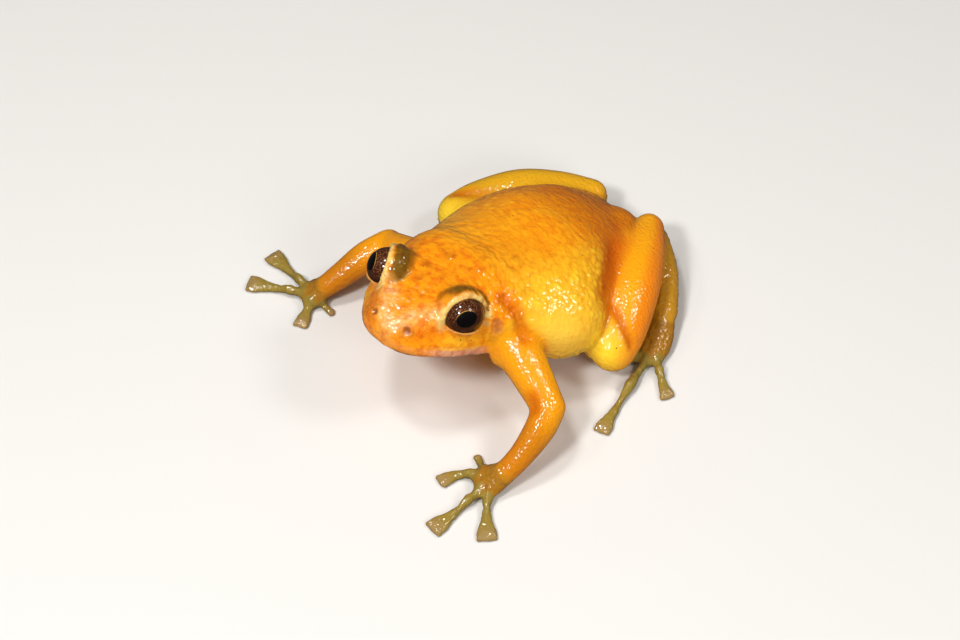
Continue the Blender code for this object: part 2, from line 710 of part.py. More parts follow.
def main():
    start()
    flesh_room = thin(flesh("flesh_room", GAP + SLACK), TRIANGLES["flesh_room"])
    flesh_room.hide_render = True
    flesh_room.display_type = "WIRE"
    made = limbs(flesh_room)
    parted = flesh_pieces()
    carve_head(parted["head"])
    cut(parted["trunk"], [bpy.data.objects[name + "_room"] for name in LEGS if name.startswith(FOLDED)])
    for name, item in parted.items():
        thin(keep_largest(item), TRIANGLES[name.replace("_left", "").replace("_right", "")])
    made.update(parted)
    for side, word in ((1, "left"), (-1, "right")):
        turn = eye_facing(side).to_track_quat("Z", "Y").to_matrix().to_4x4()
        made["eye_" + word] = ball("eye_" + word, eye_centre(side), EYE_RADIUS, 18, 11, turn)
    paint(made)
    centre_on_floor(made)


main()
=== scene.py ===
# Black mountain boulder frog, an adult female, as a still life-size model on a pale studio floor.
# Lengths are millimetres in the frog's own frame: it faces -Y, its left is +X and the floor is at 0.
# One skin is lofted from its forms, fused, sculpted in code and coloured. The eyes are pieces of their own.

import math
import time

import bmesh
import bpy
import numpy as np
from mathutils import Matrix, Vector


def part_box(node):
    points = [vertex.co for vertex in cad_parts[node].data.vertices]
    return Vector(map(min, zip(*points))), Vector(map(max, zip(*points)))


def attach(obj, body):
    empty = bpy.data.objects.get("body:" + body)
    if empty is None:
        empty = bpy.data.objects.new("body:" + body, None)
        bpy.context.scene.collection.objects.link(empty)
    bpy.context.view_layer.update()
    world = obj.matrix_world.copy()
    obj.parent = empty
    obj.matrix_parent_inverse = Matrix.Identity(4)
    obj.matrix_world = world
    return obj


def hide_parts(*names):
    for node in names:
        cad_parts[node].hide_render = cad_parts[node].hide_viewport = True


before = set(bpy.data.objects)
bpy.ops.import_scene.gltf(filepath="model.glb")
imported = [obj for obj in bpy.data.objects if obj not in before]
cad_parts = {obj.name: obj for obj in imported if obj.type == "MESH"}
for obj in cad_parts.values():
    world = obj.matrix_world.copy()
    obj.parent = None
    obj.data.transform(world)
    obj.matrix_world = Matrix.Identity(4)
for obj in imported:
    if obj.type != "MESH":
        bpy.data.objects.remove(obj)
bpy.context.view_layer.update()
startTime = time.time()
mm = 0.001


def say(text):
    print(f"frog: {text} ({time.time() - startTime:.1f} s)")


head = {
    "eyeMiddle": (2.5, -11.1, 17.5),
    "eyeSpacing": 12.06,
    "eyeRadius": 2.7,
    "yaw": 12.0,  # degrees to its left
    "pitch": 12.0,  # degrees up
    "mouthBelowEyes": 5.5,
    "mouthSlope": 0.27,  # rise of the mouth for each millimetre ahead
    "mouthCorner": -3.0,
    "lip": 0.7,
    "jawInset": 0.8,
    "leastHeight": 0.2,  # of the upper jaw at its tip
    "square": 2.5,  # 2 is an ellipse
    "jawSquare": 2.2,
    # millimetres ahead of the eyes, half width, top and underside against the eyes' height
    "rows": [
        (8.0, 0.7, -2.4, -3.8), (7.85, 2.0, -1.6, -4.6), (7.1, 3.8, -0.7, -5.6), (5.9, 5.1, -0.05, -6.4),
        (4.0, 6.4, 0.65, -7.2), (2.0, 7.45, 1.15, -7.9), (0.0, 8.2, 1.5, -8.5), (-2.5, 8.85, 1.9, -9.2),
        (-5.0, 9.15, 2.3, -9.9), (-7.5, 9.2, 2.6, -10.4), (-9.9, 8.5, 2.2, -10.0), (-11.6, 5.3, -0.4, -7.6),
    ],
}

trunk = {
    "rear": (1.9, 23.0, 6.2),
    "length": 32.4,
    "width": 26.55,
    "depth": 17.1,
    "square": 2.1,
    # share of the length from the rear, shift to the left, height of the middle, then width, top and belly
    "rows": [
        (0.02, 0.0, 6.0, 0.14, 0.08, 0.08), (0.06, 0.1, 6.2, 0.34, 0.18, 0.19),
        (0.14, 0.2, 7.0, 0.53, 0.29, 0.29), (0.26, 0.2, 8.0, 0.70, 0.38, 0.39),
        (0.40, 0.8, 8.8, 0.87, 0.43, 0.45), (0.55, 1.8, 9.4, 1.00, 0.43, 0.48),
        (0.68, 1.9, 10.4, 0.96, 0.40, 0.50), (0.80, 1.4, 12.0, 0.82, 0.35, 0.46),
        (0.90, 0.9, 13.4, 0.68, 0.30, 0.36), (0.98, 0.6, 14.3, 0.57, 0.26, 0.28),
        (1.05, 0.5, 14.8, 0.34, 0.15, 0.16),
    ],
}

# Each row is a point on the middle line, then half the width and half the height
limbs = {
    "armLeft": [(8.0, -3.4, 11.6, 3.0, 3.0), (12.7, -4.6, 10.7, 3.0, 3.0), (16.9, -5.4, 9.2, 2.6, 2.5),
                (20.7, -6.1, 7.5, 2.2, 2.2)],
    "forearmLeft": [(20.8, -6.1, 7.5, 2.2, 2.2), (22.0, -8.6, 6.4, 2.0, 2.1), (22.5, -11.9, 4.4, 1.65, 1.7),
                    (22.4, -14.6, 2.8, 1.55, 1.4)],
    "armRight": [(-4.4, -3.9, 11.6, 2.5, 2.6), (-8.4, -4.3, 9.4, 2.1, 2.2), (-13.9, -4.2, 6.3, 1.8, 1.9)],
    "forearmRight": [(-13.9, -4.2, 6.4, 1.9, 2.0), (-14.8, -7.4, 5.2, 2.1, 2.1),
                     (-15.4, -10.8, 3.8, 1.8, 1.8), (-16.0, -13.2, 2.6, 1.6, 1.5)],
    "shankLeft": [(17.5, 8.0, 4.9, 3.1, 3.2), (16.0, 10.9, 6.0, 3.4, 3.5), (12.9, 15.5, 7.2, 3.5, 3.6),
                  (9.6, 20.2, 7.0, 2.9, 3.0), (6.5, 23.9, 6.3, 2.2, 2.3)],
    "shankRight": [(-13.3, 7.5, 4.3, 2.9, 3.0), (-12.1, 10.4, 5.1, 3.2, 3.3), (-9.5, 15.0, 6.1, 3.3, 3.4),
                   (-6.6, 19.4, 5.9, 2.8, 2.8), (-3.7, 22.9, 5.3, 2.1, 2.1)],
    "thighLeft": [(4.6, 19.4, 7.4, 3.4, 3.6), (8.6, 15.4, 7.0, 4.1, 4.3), (12.4, 10.9, 6.0, 4.0, 4.1),
                  (15.3, 7.9, 5.2, 3.2, 3.4)],
    "thighRight": [(-0.8, 18.9, 6.8, 3.2, 3.3), (-4.4, 14.9, 6.3, 3.8, 4.0), (-8.4, 10.5, 5.3, 3.7, 3.8),
                   (-11.3, 7.5, 4.6, 3.0, 3.1)],
    "tarsusLeft": [(7.0, 24.8, 4.1, 1.9, 1.8), (11.9, 22.3, 3.5, 1.7, 1.7), (16.2, 18.2, 2.6, 1.8, 1.6)],
    "tarsusRight": [(-3.9, 23.8, 3.5, 1.8, 1.7), (-8.2, 21.2, 3.0, 1.6, 1.6), (-11.4, 17.4, 2.3, 1.7, 1.5)],
    "footLeft": [(16.9, 17.2, 2.1, 1.8, 1.5), (18.6, 14.6, 1.3, 2.2, 1.25), (19.3, 12.7, 1.0, 2.1, 1.05)],
    "footRight": [(-11.6, 16.4, 2.1, 1.7, 1.4), (-11.6, 13.4, 1.2, 2.0, 1.2), (-11.8, 11.4, 0.9, 1.9, 0.95)],
    "handLeft": [(22.2, -14.9, 2.4, 1.7, 1.4), (21.4, -16.4, 1.3, 2.5, 1.15), (21.0, -17.5, 1.0, 2.3, 0.95)],
    "handRight": [(-16.3, -13.4, 2.2, 1.6, 1.3), (-17.0, -14.6, 1.2, 2.3, 1.1),
                  (-17.6, -15.2, 1.0, 2.1, 0.95)],
}

# Fingers and toes from the innermost: root, knuckle and tip in plan, then the disc's share of the widest
digits = {
    "handLeft": [
        ((20.0, -16.0), (18.6, -15.4), (16.7, -14.6), 0.45),
        ((19.9, -16.9), (17.9, -18.1), (17.0, -21.1), 0.80),
        ((21.3, -17.6), (21.8, -21.4), (21.9, -26.4), 1.00),
        ((22.3, -17.2), (24.4, -19.4), (27.7, -22.0), 1.00),
    ],
    "handRight": [
        ((-15.8, -14.6), (-14.7, -14.7), (-12.9, -14.5), 0.45),
        ((-16.4, -15.4), (-15.6, -17.0), (-14.2, -19.3), 0.80),
        ((-18.0, -15.6), (-20.8, -17.4), (-24.8, -20.1), 1.00),
        ((-18.2, -14.7), (-21.5, -14.6), (-26.8, -14.6), 1.00),
    ],
    "footLeft": [
        ((18.2, 13.6), (16.9, 13.6), (15.6, 13.4), 0.35),
        ((18.4, 12.6), (16.9, 11.8), (14.9, 10.6), 0.45),
        ((18.9, 12.0), (17.8, 9.9), (16.2, 7.4), 0.60),
        ((19.6, 12.0), (21.5, 7.2), (24.3, -0.2), 0.85),
        ((20.2, 13.2), (22.8, 11.7), (25.9, 10.2), 0.75),
    ],
    "footRight": [
        ((-11.0, 12.0), (-10.0, 11.4), (-8.8, 10.6), 0.35),
        ((-11.2, 11.2), (-10.6, 9.6), (-9.4, 7.4), 0.45),
        ((-11.7, 10.8), (-11.6, 8.0), (-11.0, 4.0), 0.60),
        ((-12.2, 10.8), (-13.2, 6.4), (-13.9, -0.2), 0.85),
        ((-12.8, 11.6), (-14.5, 9.4), (-16.2, 6.2), 0.75),
    ],
}
digitForm = {
    "radius": 0.66,
    "disc": 1.58,
    "arch": 0.35,  # rise of the knuckle over the floor
    # distance back from the tip in half disc widths, spread towards the disc's width, height in digit radii
    "tip": [(2.3, 0.0, 1.0), (1.75, 0.14, 0.9), (1.3, 0.40, 0.84), (0.9, 0.74, 0.80), (0.55, 0.96, 0.74),
            (0.25, 1.0, 0.62), (0.05, 0.90, 0.42)],
    # share of the way to the disc, then width and height in digit radii, widest at the joints
    "shaft": [(0.0, 1.2, 1.25), (0.22, 1.0, 1.05), (0.42, 0.84, 0.96), (0.60, 1.24, 1.12), (0.78, 0.84, 0.94),
              (0.95, 0.78, 0.88)],
    "leastShaft": 0.25,  # share of a digit that its shaft takes at least
    "slim": 0.86,  # share of the radius where the disc's share is under 0.5
    "leastDisc": 1.12,  # in digit radii
    "press": 0.92,  # height of the middle line in half heights, so the underside is pressed flat
}

meshing = {
    "bodySides": 72,
    "bodySteps": 6,  # rings from one row to the next
    "limbSides": 28,
    "limbSteps": 7,
    "digitSides": 20,
    "digitSteps": 5,
    "coarseVoxel": 0.30,
    "fineVoxel": 0.15,
    "coarseRounds": 5,  # of evening out after each remesh
    "fineRounds": 3,
}


# Rows filled in along a smooth curve through them
def smoothRows(rows, steps):
    points = np.array([rows[0], *rows, rows[-1]], dtype=float)
    filled = []
    for a, b, c, d in zip(points, points[1:], points[2:], points[3:]):
        for t in np.arange(steps) / steps:
            curve = 2 * b + (c - a) * t + (2 * a - 5 * b + 4 * c - d) * t**2 + (3 * b - a - 3 * c + d) * t**3
            filled.append(curve / 2)
    filled.append(points[-1])
    return filled


def addRing(bm, centre, across, up, halfWidth, above, below, square, sides=meshing["bodySides"]):
    ring = []
    for k in range(sides):
        angle = 2 * math.pi * (k + 0.5) / sides
        side, rise = math.cos(angle), math.sin(angle)
        x = halfWidth * math.copysign(abs(side) ** (2 / square), side)
        z = (above if rise > 0 else below) * math.copysign(abs(rise) ** (2 / square), rise)
        ring.append(bm.verts.new(centre + across * x + up * z))
    return ring


def addObject(name, data):
    added = bpy.data.objects.new(name, data)
    bpy.context.scene.collection.objects.link(added)
    return added


def pieceFrom(name, bm):
    mesh = bpy.data.meshes.new(name)
    bm.to_mesh(mesh)
    bm.free()
    return addObject(name, mesh)


def skinRings(name, bm, rings):
    for a, b in zip(rings, rings[1:]):
        for k in range(len(a)):
            n = (k + 1) % len(a)
            bm.faces.new((a[k], a[n], b[n], b[k]))
    bm.faces.new(rings[0])
    bm.faces.new(rings[-1])
    bmesh.ops.recalc_face_normals(bm, faces=bm.faces)
    if bm.calc_volume(signed=True) < 0:
        bmesh.ops.reverse_faces(bm, faces=bm.faces)
    return pieceFrom(name, bm)


# A limb along its middle line with round ends
def limbForm(name, rows, sides=meshing["limbSides"], steps=meshing["limbSteps"]):
    stations = smoothRows(rows, steps)
    capAngles = [math.radians(a) for a in (20, 40, 58, 74, 84)]
    bm = bmesh.new()
    rings = []
    for i, row in enumerate(stations):
        before, after = stations[max(i - 1, 0)], stations[min(i + 1, len(stations) - 1)]
        along = Vector(after[:3] - before[:3]).normalized()
        across = along.cross(Vector((0, 0, 1))).normalized()
        up = across.cross(along)
        width, height = row[3], row[4]
        ends = [(0.0, 1.0)]
        if i == 0:
            ends = [(-math.sin(a) * height, math.cos(a)) for a in capAngles[::-1]] + ends
        if i == len(stations) - 1:
            ends += [(math.sin(a) * height, math.cos(a)) for a in capAngles]
        for offset, share in ends:
            centre = Vector(row[:3]) + along * offset
            rings.append(addRing(bm, centre, across, up, width * share, height * share, height * share,
                                 2.0, sides))
    return skinRings(name, bm, rings)


# Rows of a digit from inside the palm to its blunt disc
def digitRows(spec):
    root, knuckle, tip = (Vector(p) for p in spec[:3])
    radius = digitForm["radius"] * (digitForm["slim"] if spec[3] < 0.5 else 1.0)
    disc = max(digitForm["disc"] * spec[3], radius * digitForm["leastDisc"])
    bend = knuckle * 2 - (root + tip) / 2
    length = (knuckle - root).length + (tip - knuckle).length
    tipStart = 1 - digitForm["tip"][0][0] * disc / length
    press = digitForm["press"]
    rows = []
    for share, width, height in digitForm["shaft"]:
        t = share * max(tipStart, digitForm["leastShaft"])
        place = root * (1 - t) ** 2 + bend * 2 * t * (1 - t) + tip * t**2
        lift = digitForm["arch"] * math.sin(math.pi * share)
        rows.append((place.x, place.y, radius * height * press + lift, radius * width, radius * height))
    for back, spread, height in digitForm["tip"]:
        t = 1 - back * disc / length
        place = root * (1 - t) ** 2 + bend * 2 * t * (1 - t) + tip * t**2
        width = radius + (disc - radius) * spread
        rows.append((place.x, place.y, radius * height * press, width, radius * height))
    return rows


yaw, pitch = math.radians(head["yaw"]), math.radians(head["pitch"])
heading = Vector((math.sin(yaw), -math.cos(yaw), 0))
headLeft = Vector((math.cos(yaw), math.sin(yaw), 0))
headAhead = heading * math.cos(pitch) + Vector((0, 0, 1)) * math.sin(pitch)
headUp = Vector((0, 0, 1)) * math.cos(pitch) - heading * math.sin(pitch)


def headPoint(left, ahead, up):
    return Vector(head["eyeMiddle"]) + headLeft * left + headAhead * ahead + headUp * up


def eyeCentre(side):
    return headPoint(side * head["eyeSpacing"] / 2, 0, 0)


def ballForm(name, centre, radius, sides=48, rows=32):
    bm = bmesh.new()
    bmesh.ops.create_uvsphere(bm, u_segments=sides, v_segments=rows, radius=radius)
    bmesh.ops.translate(bm, verts=bm.verts, vec=centre)
    return pieceFrom(name, bm)


def trunkForm():
    bm = bmesh.new()
    rings = []
    rear = Vector(trunk["rear"])
    for share, shift, height, width, above, below in smoothRows(trunk["rows"], meshing["bodySteps"]):
        centre = Vector((rear.x + shift, rear.y - share * trunk["length"], height))
        rings.append(addRing(bm, centre, Vector((1, 0, 0)), Vector((0, 0, 1)), width * trunk["width"] / 2,
                             above * trunk["depth"], below * trunk["depth"], trunk["square"]))
    return skinRings("trunkForm", bm, rings)


# Height of the mouth's line at a distance ahead of the eyes
def mouthLevel(ahead):
    return head["mouthSlope"] * np.maximum(ahead, head["mouthCorner"]) - head["mouthBelowEyes"]


def headForm():
    bm = bmesh.new()
    rings = []
    for ahead, halfWidth, top, _ in smoothRows(head["rows"], meshing["bodySteps"]):
        centre = headPoint(0, ahead, mouthLevel(ahead))
        above = max(top - mouthLevel(ahead), head["leastHeight"])
        rings.append(addRing(bm, centre, headLeft, headUp, halfWidth, above, head["lip"], head["square"]))
    return skinRings("headForm", bm, rings)


def jawForm():
    bm = bmesh.new()
    rings = []
    inset = head["jawInset"]
    for ahead, halfWidth, _, under in smoothRows(head["rows"], meshing["bodySteps"]):
        centre = headPoint(0, ahead - inset, mouthLevel(ahead))
        rings.append(addRing(bm, centre, headLeft, headUp, max(halfWidth - inset, inset / 2), head["lip"],
                             mouthLevel(ahead) - under, head["jawSquare"]))
    return skinRings("jawForm", bm, rings)


# Fuses meshes into one closed skin of even small faces
def fuse(piece, voxel):
    remesh = piece.modifiers.new("fuse", "REMESH")
    remesh.mode = "VOXEL"
    remesh.voxel_size = voxel
    graph = bpy.context.evaluated_depsgraph_get()
    mesh = bpy.data.meshes.new_from_object(piece.evaluated_get(graph))
    piece.modifiers.clear()
    piece.data = mesh


def pointsOf(mesh):
    points = np.empty(len(mesh.vertices) * 3)
    mesh.vertices.foreach_get("co", points)
    return points.reshape(-1, 3)


def setPoints(mesh, points):
    mesh.vertices.foreach_set("co", points.ravel())
    mesh.update()


def normalsOf(mesh):
    normals = np.empty(len(mesh.vertices) * 3)
    mesh.vertex_normals.foreach_get("vector", normals)
    return normals.reshape(-1, 3)


def edgesOf(mesh):
    edges = np.empty(len(mesh.edges) * 2, dtype=np.int64)
    mesh.edges.foreach_get("vertices", edges)
    return edges.reshape(-1, 2)


# Evens out values or points over the mesh, as far as strength says at each vertex
def relax(values, edges, rounds, strength=0.5):
    a, b = edges.T
    count = len(values)
    degree = np.bincount(a, minlength=count) + np.bincount(b, minlength=count)
    flat = values.reshape(count, -1).copy()
    strength = np.broadcast_to(np.asarray(strength, dtype=float), (count,))
    for _ in range(rounds):
        for k in range(flat.shape[1]):
            column = flat[:, k]
            total = np.bincount(a, column[b], count) + np.bincount(b, column[a], count)
            flat[:, k] = column + (total / degree - column) * strength
    return flat.reshape(values.shape)


# A random number from 0 to 1 for each cell of a grid, the same every run
def randomAt(cells, seed, salt):
    x, y, z = ((cells[:, k] + 4096).astype(np.uint64) for k in range(3))  # no number is below 0
    mixed = x * np.uint64(73856093) ^ y * np.uint64(19349663) ^ z * np.uint64(83492791)
    mixed = (mixed ^ np.uint64(seed * 2654435761 + salt * 40503)) & np.uint64(0xFFFFFFFF)
    mixed = (mixed ^ (mixed >> np.uint64(15))) * np.uint64(2246822519) & np.uint64(0xFFFFFFFF)
    mixed = (mixed ^ (mixed >> np.uint64(13))) * np.uint64(3266489917) & np.uint64(0xFFFFFFFF)
    return ((mixed ^ (mixed >> np.uint64(16))) & np.uint64(0xFFFFFFFF)).astype(float) / 4294967296.0


# Distance to the nearest of scattered seeds, in spacings, and a random number for that seed
def scatter(points, spacing, seed):
    scaled = points / spacing
    base = np.floor(scaled).astype(np.int64)
    nearest = np.full(len(points), 9.0)
    chance = np.zeros(len(points))
    for i in (-1, 0, 1):
        for j in (-1, 0, 1):
            for k in (-1, 0, 1):
                cell = base + (i, j, k)
                seedPoint = cell + np.stack([randomAt(cell, seed, s) for s in (1, 2, 3)], axis=1)
                distance = np.linalg.norm(scaled - seedPoint, axis=1)
                closer = distance < nearest
                chance = np.where(closer, randomAt(cell, seed, 4), chance)
                nearest = np.where(closer, distance, nearest)
    return nearest, chance


# Round grains on scattered seeds, from 0 to 1, none lower than least
def grainDomes(points, spacing, seed, least, reach=0.75):
    nearest, chance = scatter(points, spacing, seed)
    return np.clip(1 - (nearest / reach) ** 2, 0, 1) * (least + (1 - least) * chance)


# Nearness from 0 to 1 to a line through several places
def alongLine(points, places, reach):
    places = np.array(places, dtype=float)
    best = np.full(len(points), 99.0)
    for a, b in zip(places, places[1:]):
        span = b - a
        t = np.clip((points - a) @ span / (span @ span), 0, 1)
        best = np.minimum(best, np.linalg.norm(points - (a + t[:, None] * span), axis=1))
    return hump(best, reach)


# Smooth noise from -1 to 1 with features about one size wide
def cloud(points, size, seed):
    scaled = points / size
    base = np.floor(scaled).astype(np.int64)
    t = scaled - base
    t = t * t * (3 - 2 * t)
    total = np.zeros(len(points))
    for i in (0, 1):
        for j in (0, 1):
            for k in (0, 1):
                weight = (t[:, 0] if i else 1 - t[:, 0]) * (t[:, 1] if j else 1 - t[:, 1])
                weight = weight * (t[:, 2] if k else 1 - t[:, 2])
                total += weight * randomAt(base + (i, j, k), seed, 7)
    return total * 2 - 1


def ramp(low, high, value):
    t = np.clip((value - low) / (high - low), 0, 1)
    return t * t * (3 - 2 * t)


def hump(distance, reach):
    return np.exp(-((distance / reach) ** 2))


def around(points, place, reach):
    return hump(np.linalg.norm(points - np.array(place), axis=1), reach)


lids = {
    "shift": (-0.30, -0.20, 0.35),  # of the dome's centre from the eye's: outwards, ahead and up
    "dome": 3.18,
    "upperRim": 3.12,  # radius of the skin along the opening
    "lowerRim": 2.86,
    "inner": 2.45,  # how far in the skin goes behind the eyeball's surface
    "upperPlane": ((0.87, 0.475, 0.14), 0.16),  # the opening is what lies beyond these two planes
    "lowerPlane": ((0.05, -0.05, 1.0), -0.33),
    "edge": 5.0,  # degrees over which the rim turns in
    "upperFade": 15.0,  # degrees over which it joins the dome
    "lowerFade": 9.0,
    "softness": 4.0,  # degrees over which the two edges run into each other
    "reach": 4.4,  # millimetres from the eyeball's centre and degrees past the edge that are moved
    "reachPast": 60.0,
    "colourEnd": (4.1, 3.6),  # millimetres from the eyeball's centre between which the lid's colours end
    "frontEnd": {1: (0.55, 0.0), -1: (0.95, 0.4)},  # the olive reaches further ahead on the right eye
    "bead": 0.05,
    "granule": 0.42,  # spacing of the granules on the dome
    "granuleHeight": 0.10,
}


def domeCentre(side):
    outwards, ahead, up = lids["shift"]
    return headPoint(side * (head["eyeSpacing"] / 2 + outwards), ahead, up)


forms = [trunkForm(), headForm(), jawForm()]
forms += [ballForm("lidForm", domeCentre(side), lids["dome"]) for side in (1, -1)]
forms += [limbForm(name, rows) for name, rows in limbs.items()]
allDigits = [spec for specs in digits.values() for spec in specs]
forms += [limbForm("digit", digitRows(spec), meshing["digitSides"], meshing["digitSteps"])
          for spec in allDigits]
skin = forms[0]
with bpy.context.temp_override(active_object=skin, selected_editable_objects=forms):
    bpy.ops.object.join()
skin.name = "skin"
skin.data.name = "skin"
fuse(skin, meshing["coarseVoxel"])
edges = edgesOf(skin.data)
points = relax(pointsOf(skin.data), edges, meshing["coarseRounds"])
setPoints(skin.data, points)
say(f"forms fused, {len(points)} points")


# The same points seen from the eyes' middle: to its left, ahead and up
def inHead(points):
    offset = points - np.array(head["eyeMiddle"])
    return np.stack([offset @ np.array(way) for way in (headLeft, headAhead, headUp)], axis=1)


# Degrees past the edge of an eye's opening, and how much that edge is the upper lid's
def roundEye(local, side):
    offset = local * (side, 1, 1) - (head["eyeSpacing"] / 2, 0, 0)
    radius = np.linalg.norm(offset, axis=1)
    direction = offset / np.maximum(radius, 1e-6)[:, None]
    pasts = []
    for plane, level in (lids["upperPlane"], lids["lowerPlane"]):
        plane = np.array(plane) / np.linalg.norm(plane)
        pasts.append(np.degrees(np.arccos(np.clip(direction @ plane, -1, 1)) - np.arccos(level)))
    upperPast, lowerPast = pasts
    softness = lids["softness"]
    past = softness * np.logaddexp(upperPast / softness, lowerPast / softness)
    return radius, direction, past, ramp(-12, 12, upperPast - lowerPast)


def carveLids(points):
    for side in (1, -1):
        radius, direction, past, upper = roundEye(inHead(points), side)
        rim = lids["lowerRim"] + (lids["upperRim"] - lids["lowerRim"]) * upper
        fade = lids["lowerFade"] + (lids["upperFade"] - lids["lowerFade"]) * upper
        outside = radius + (rim - radius) * hump(np.maximum(past, 0), fade)
        goal = lids["inner"] + (outside - lids["inner"]) * ramp(-lids["edge"], 1, past)
        near = (radius < lids["reach"]) & (past < lids["reachPast"])
        centre = np.array(eyeCentre(side))
        moved = centre + (points - centre) * (goal / np.maximum(radius, 1e-6))[:, None]
        points = np.where(near[:, None], moved, points)
    return points


# Hips and shoulders are drawn together more than the rest
joins = {
    "hipLeft": ((5.2, 18.4, 11.0), 4.6, 60),
    "hipRight": ((-2.0, 17.8, 10.4), 4.4, 60),
    "hipLeftSide": ((8.8, 15.6, 10.0), 3.0, 30),
    "shoulderLeft": ((8.2, -4.2, 12.0), 4.0, 25),
    "shoulderRight": ((-4.6, -4.4, 12.0), 3.6, 25),
    "nape": ((2.2, -3.0, 18.0), 7.0, 30),
}
for place, reach, rounds in joins.values():
    strength = 0.5 * around(points, place, reach)
    chosen = strength > 0.01
    points = np.where(chosen[:, None], relax(points, edges, rounds, strength), points)
say("joins drawn together")

# Ridges (+) and hollows (-) of the face in eye coordinates, on both sides: places, width and height
face = {
    "canthus": ([(4.9, 2.5, 0.75), (3.6, 4.1, 0.45), (2.2, 5.9, -0.2)], 0.80, 0.30),
    "lore": ([(6.2, 3.2, -1.3), (4.6, 5.4, -1.9)], 1.3, -0.30),
    "brow": ([(0.0, 2.0, 1.2), (0.0, 4.6, 0.6)], 1.8, -0.12),
    "underEye": ([(7.9, 2.0, -3.3), (9.3, -1.5, -3.6)], 1.5, 0.15),
    "jawCorner": ([(8.6, -1.6, -7.4), (9.6, -3.2, -7.4), (10.2, -4.4, -7.6)], 1.3, 0.70),
    "cheekFold": ([(10.2, -5.7, 0.4), (11.2, -6.0, -2.4), (10.9, -5.4, -5.2), (9.6, -4.6, -7.4)],
                  0.55, -0.30),
    "cheekRidge": ([(10.2, -4.6, -1.4), (10.8, -4.4, -3.0), (10.5, -3.8, -4.6)], 0.60, 0.16),
}
# The same on the body, each once, in the frog's own frame
body = {
    "kneeCreaseLeft": ([(14.6, 9.9, 8.9), (16.6, 9.4, 8.9), (18.6, 9.0, 8.1), (19.8, 8.9, 6.8)], 0.50, -0.52),
    "kneeLeft": ([(15.9, 7.8, 6.8), (18.2, 6.2, 5.6)], 2.0, 0.40),
    "hipLeft": ([(13.6, 8.6, 11.6), (11.6, 11.8, 12.0), (9.2, 14.8, 11.8)], 1.2, -0.42),
    "kneeCreaseRight": ([(-10.6, 10.1, 9.0), (-12.6, 8.9, 8.2), (-14.6, 7.8, 6.6)], 0.65, -0.5),
    "elbowLeft": ([(19.4, -7.4, 9.3), (20.6, -8.2, 8.6)], 0.7, -0.18),
    "neckFold": ([(9.6, -4.1, 17.2), (11.4, -4.0, 16.1), (12.6, -4.0, 14.8), (13.9, -4.3, 13.4)],
                 0.65, -0.40),
    "armpitLeft": ([(9.4, -1.4, 14.8), (11.4, -1.6, 12.4), (12.6, -1.9, 9.6)], 0.9, -0.30),
}
normals = normalsOf(skin.data)
local = inHead(points)
swell = np.zeros(len(points))
for places, width, rise in face.values():
    for side in (1, -1):
        swell += rise * alongLine(local * (side, 1, 1), places, width)
for places, width, rise in body.values():
    swell += rise * alongLine(points, places, width)
points = points + normals * swell[:, None]
say("face and folds shaped")

points = carveLids(points)
setPoints(skin.data, points)
fuse(skin, meshing["fineVoxel"])
edges = edgesOf(skin.data)
points = relax(pointsOf(skin.data), edges, meshing["fineRounds"])
setPoints(skin.data, points)
say(f"lids carved and skin refined, {len(points)} points")


local = inHead(points)
left, ahead, up = local.T
normals = normalsOf(skin.data)


# Nearness from 0 to 1 to a line of the face, given in eye coordinates, and to its mirror image
def faceLine(places, width):
    return np.maximum.reduce([alongLine(local * (side, 1, 1), places, width) for side in (1, -1)])


# How near each point is to a limb's middle line, in radii
def nearLimb(points, rows, steps=6):
    stations = np.array(smoothRows(rows, steps))
    best = np.full(len(points), 99.0)
    for row in stations:
        best = np.minimum(best, np.linalg.norm(points - row[:3], axis=1) / max(row[3], row[4]))
    return best


# The hip's end of each thigh belongs to the trunk
near = {}
for name, rows in limbs.items():
    near[name] = nearLimb(points, rows[1:] if name.startswith("thigh") else rows)
nearDigit = np.full(len(points), 99.0)
for spec in allDigits:
    nearDigit = np.minimum(nearDigit, nearLimb(points, digitRows(spec), 3))
say("regions found")


def nearOf(*kinds):
    return np.minimum.reduce([near[name] for name in near if name.startswith(kinds)])



# Where one region of the skin passes into the next: start and end of the change
regions = {
    "hand": (0.30, -0.20),  # in limb radii
    "limb": (1.45, 1.05),
    "headRear": (-8.5, -5.5),  # millimetres ahead of the eyes, to their side and above them
    "headSide": (10.6, 9.6),
    "headBelow": (-11.0, -9.0),
    "middle": 2.6,  # the body's middle plane lies this far to the left
    "flankSide": (3.5, 9.0),  # millimetres from that plane, then back and up
    "flankRear": (17, 12),
    "flankBelow": (3, 7),
    # round parts of its left side, mirrored on the right: centre and reach
    "shoulder": ((7.6, -2.2, 17.1), 4.7),
    "belly": ((15.2, 0.0, 11.8), 4.6),
}
armNear, legNear = nearOf("arm", "forearm"), nearOf("shank", "thigh")
handNear = np.minimum(nearOf("hand", "foot", "tarsus"), nearDigit)
hands = ramp(*regions["hand"], handNear - np.minimum(armNear, legNear))
limb = np.maximum(ramp(*regions["limb"], np.minimum(armNear, legNear)), hands)
headPart = ramp(*regions["headRear"], ahead) * ramp(*regions["headSide"], np.abs(left))
headPart *= ramp(*regions["headBelow"], up) * (1 - limb)
trunkPart = (1 - limb) * (1 - headPart)
middle = regions["middle"]
mirrored = np.where((points[:, 0] > middle)[:, None], points, points * (-1, 1, 1) + (2 * middle, 0, 0))
belly = around(mirrored, *regions["belly"])
flank = trunkPart * ramp(*regions["flankSide"], np.abs(points[:, 0] - middle)) * (1 - belly)
flank *= ramp(*regions["flankRear"], points[:, 1]) * ramp(*regions["flankBelow"], points[:, 2])
back = trunkPart * (1 - flank) * (1 - 0.8 * belly)
shoulder = around(mirrored, *regions["shoulder"]) * (1 - limb)
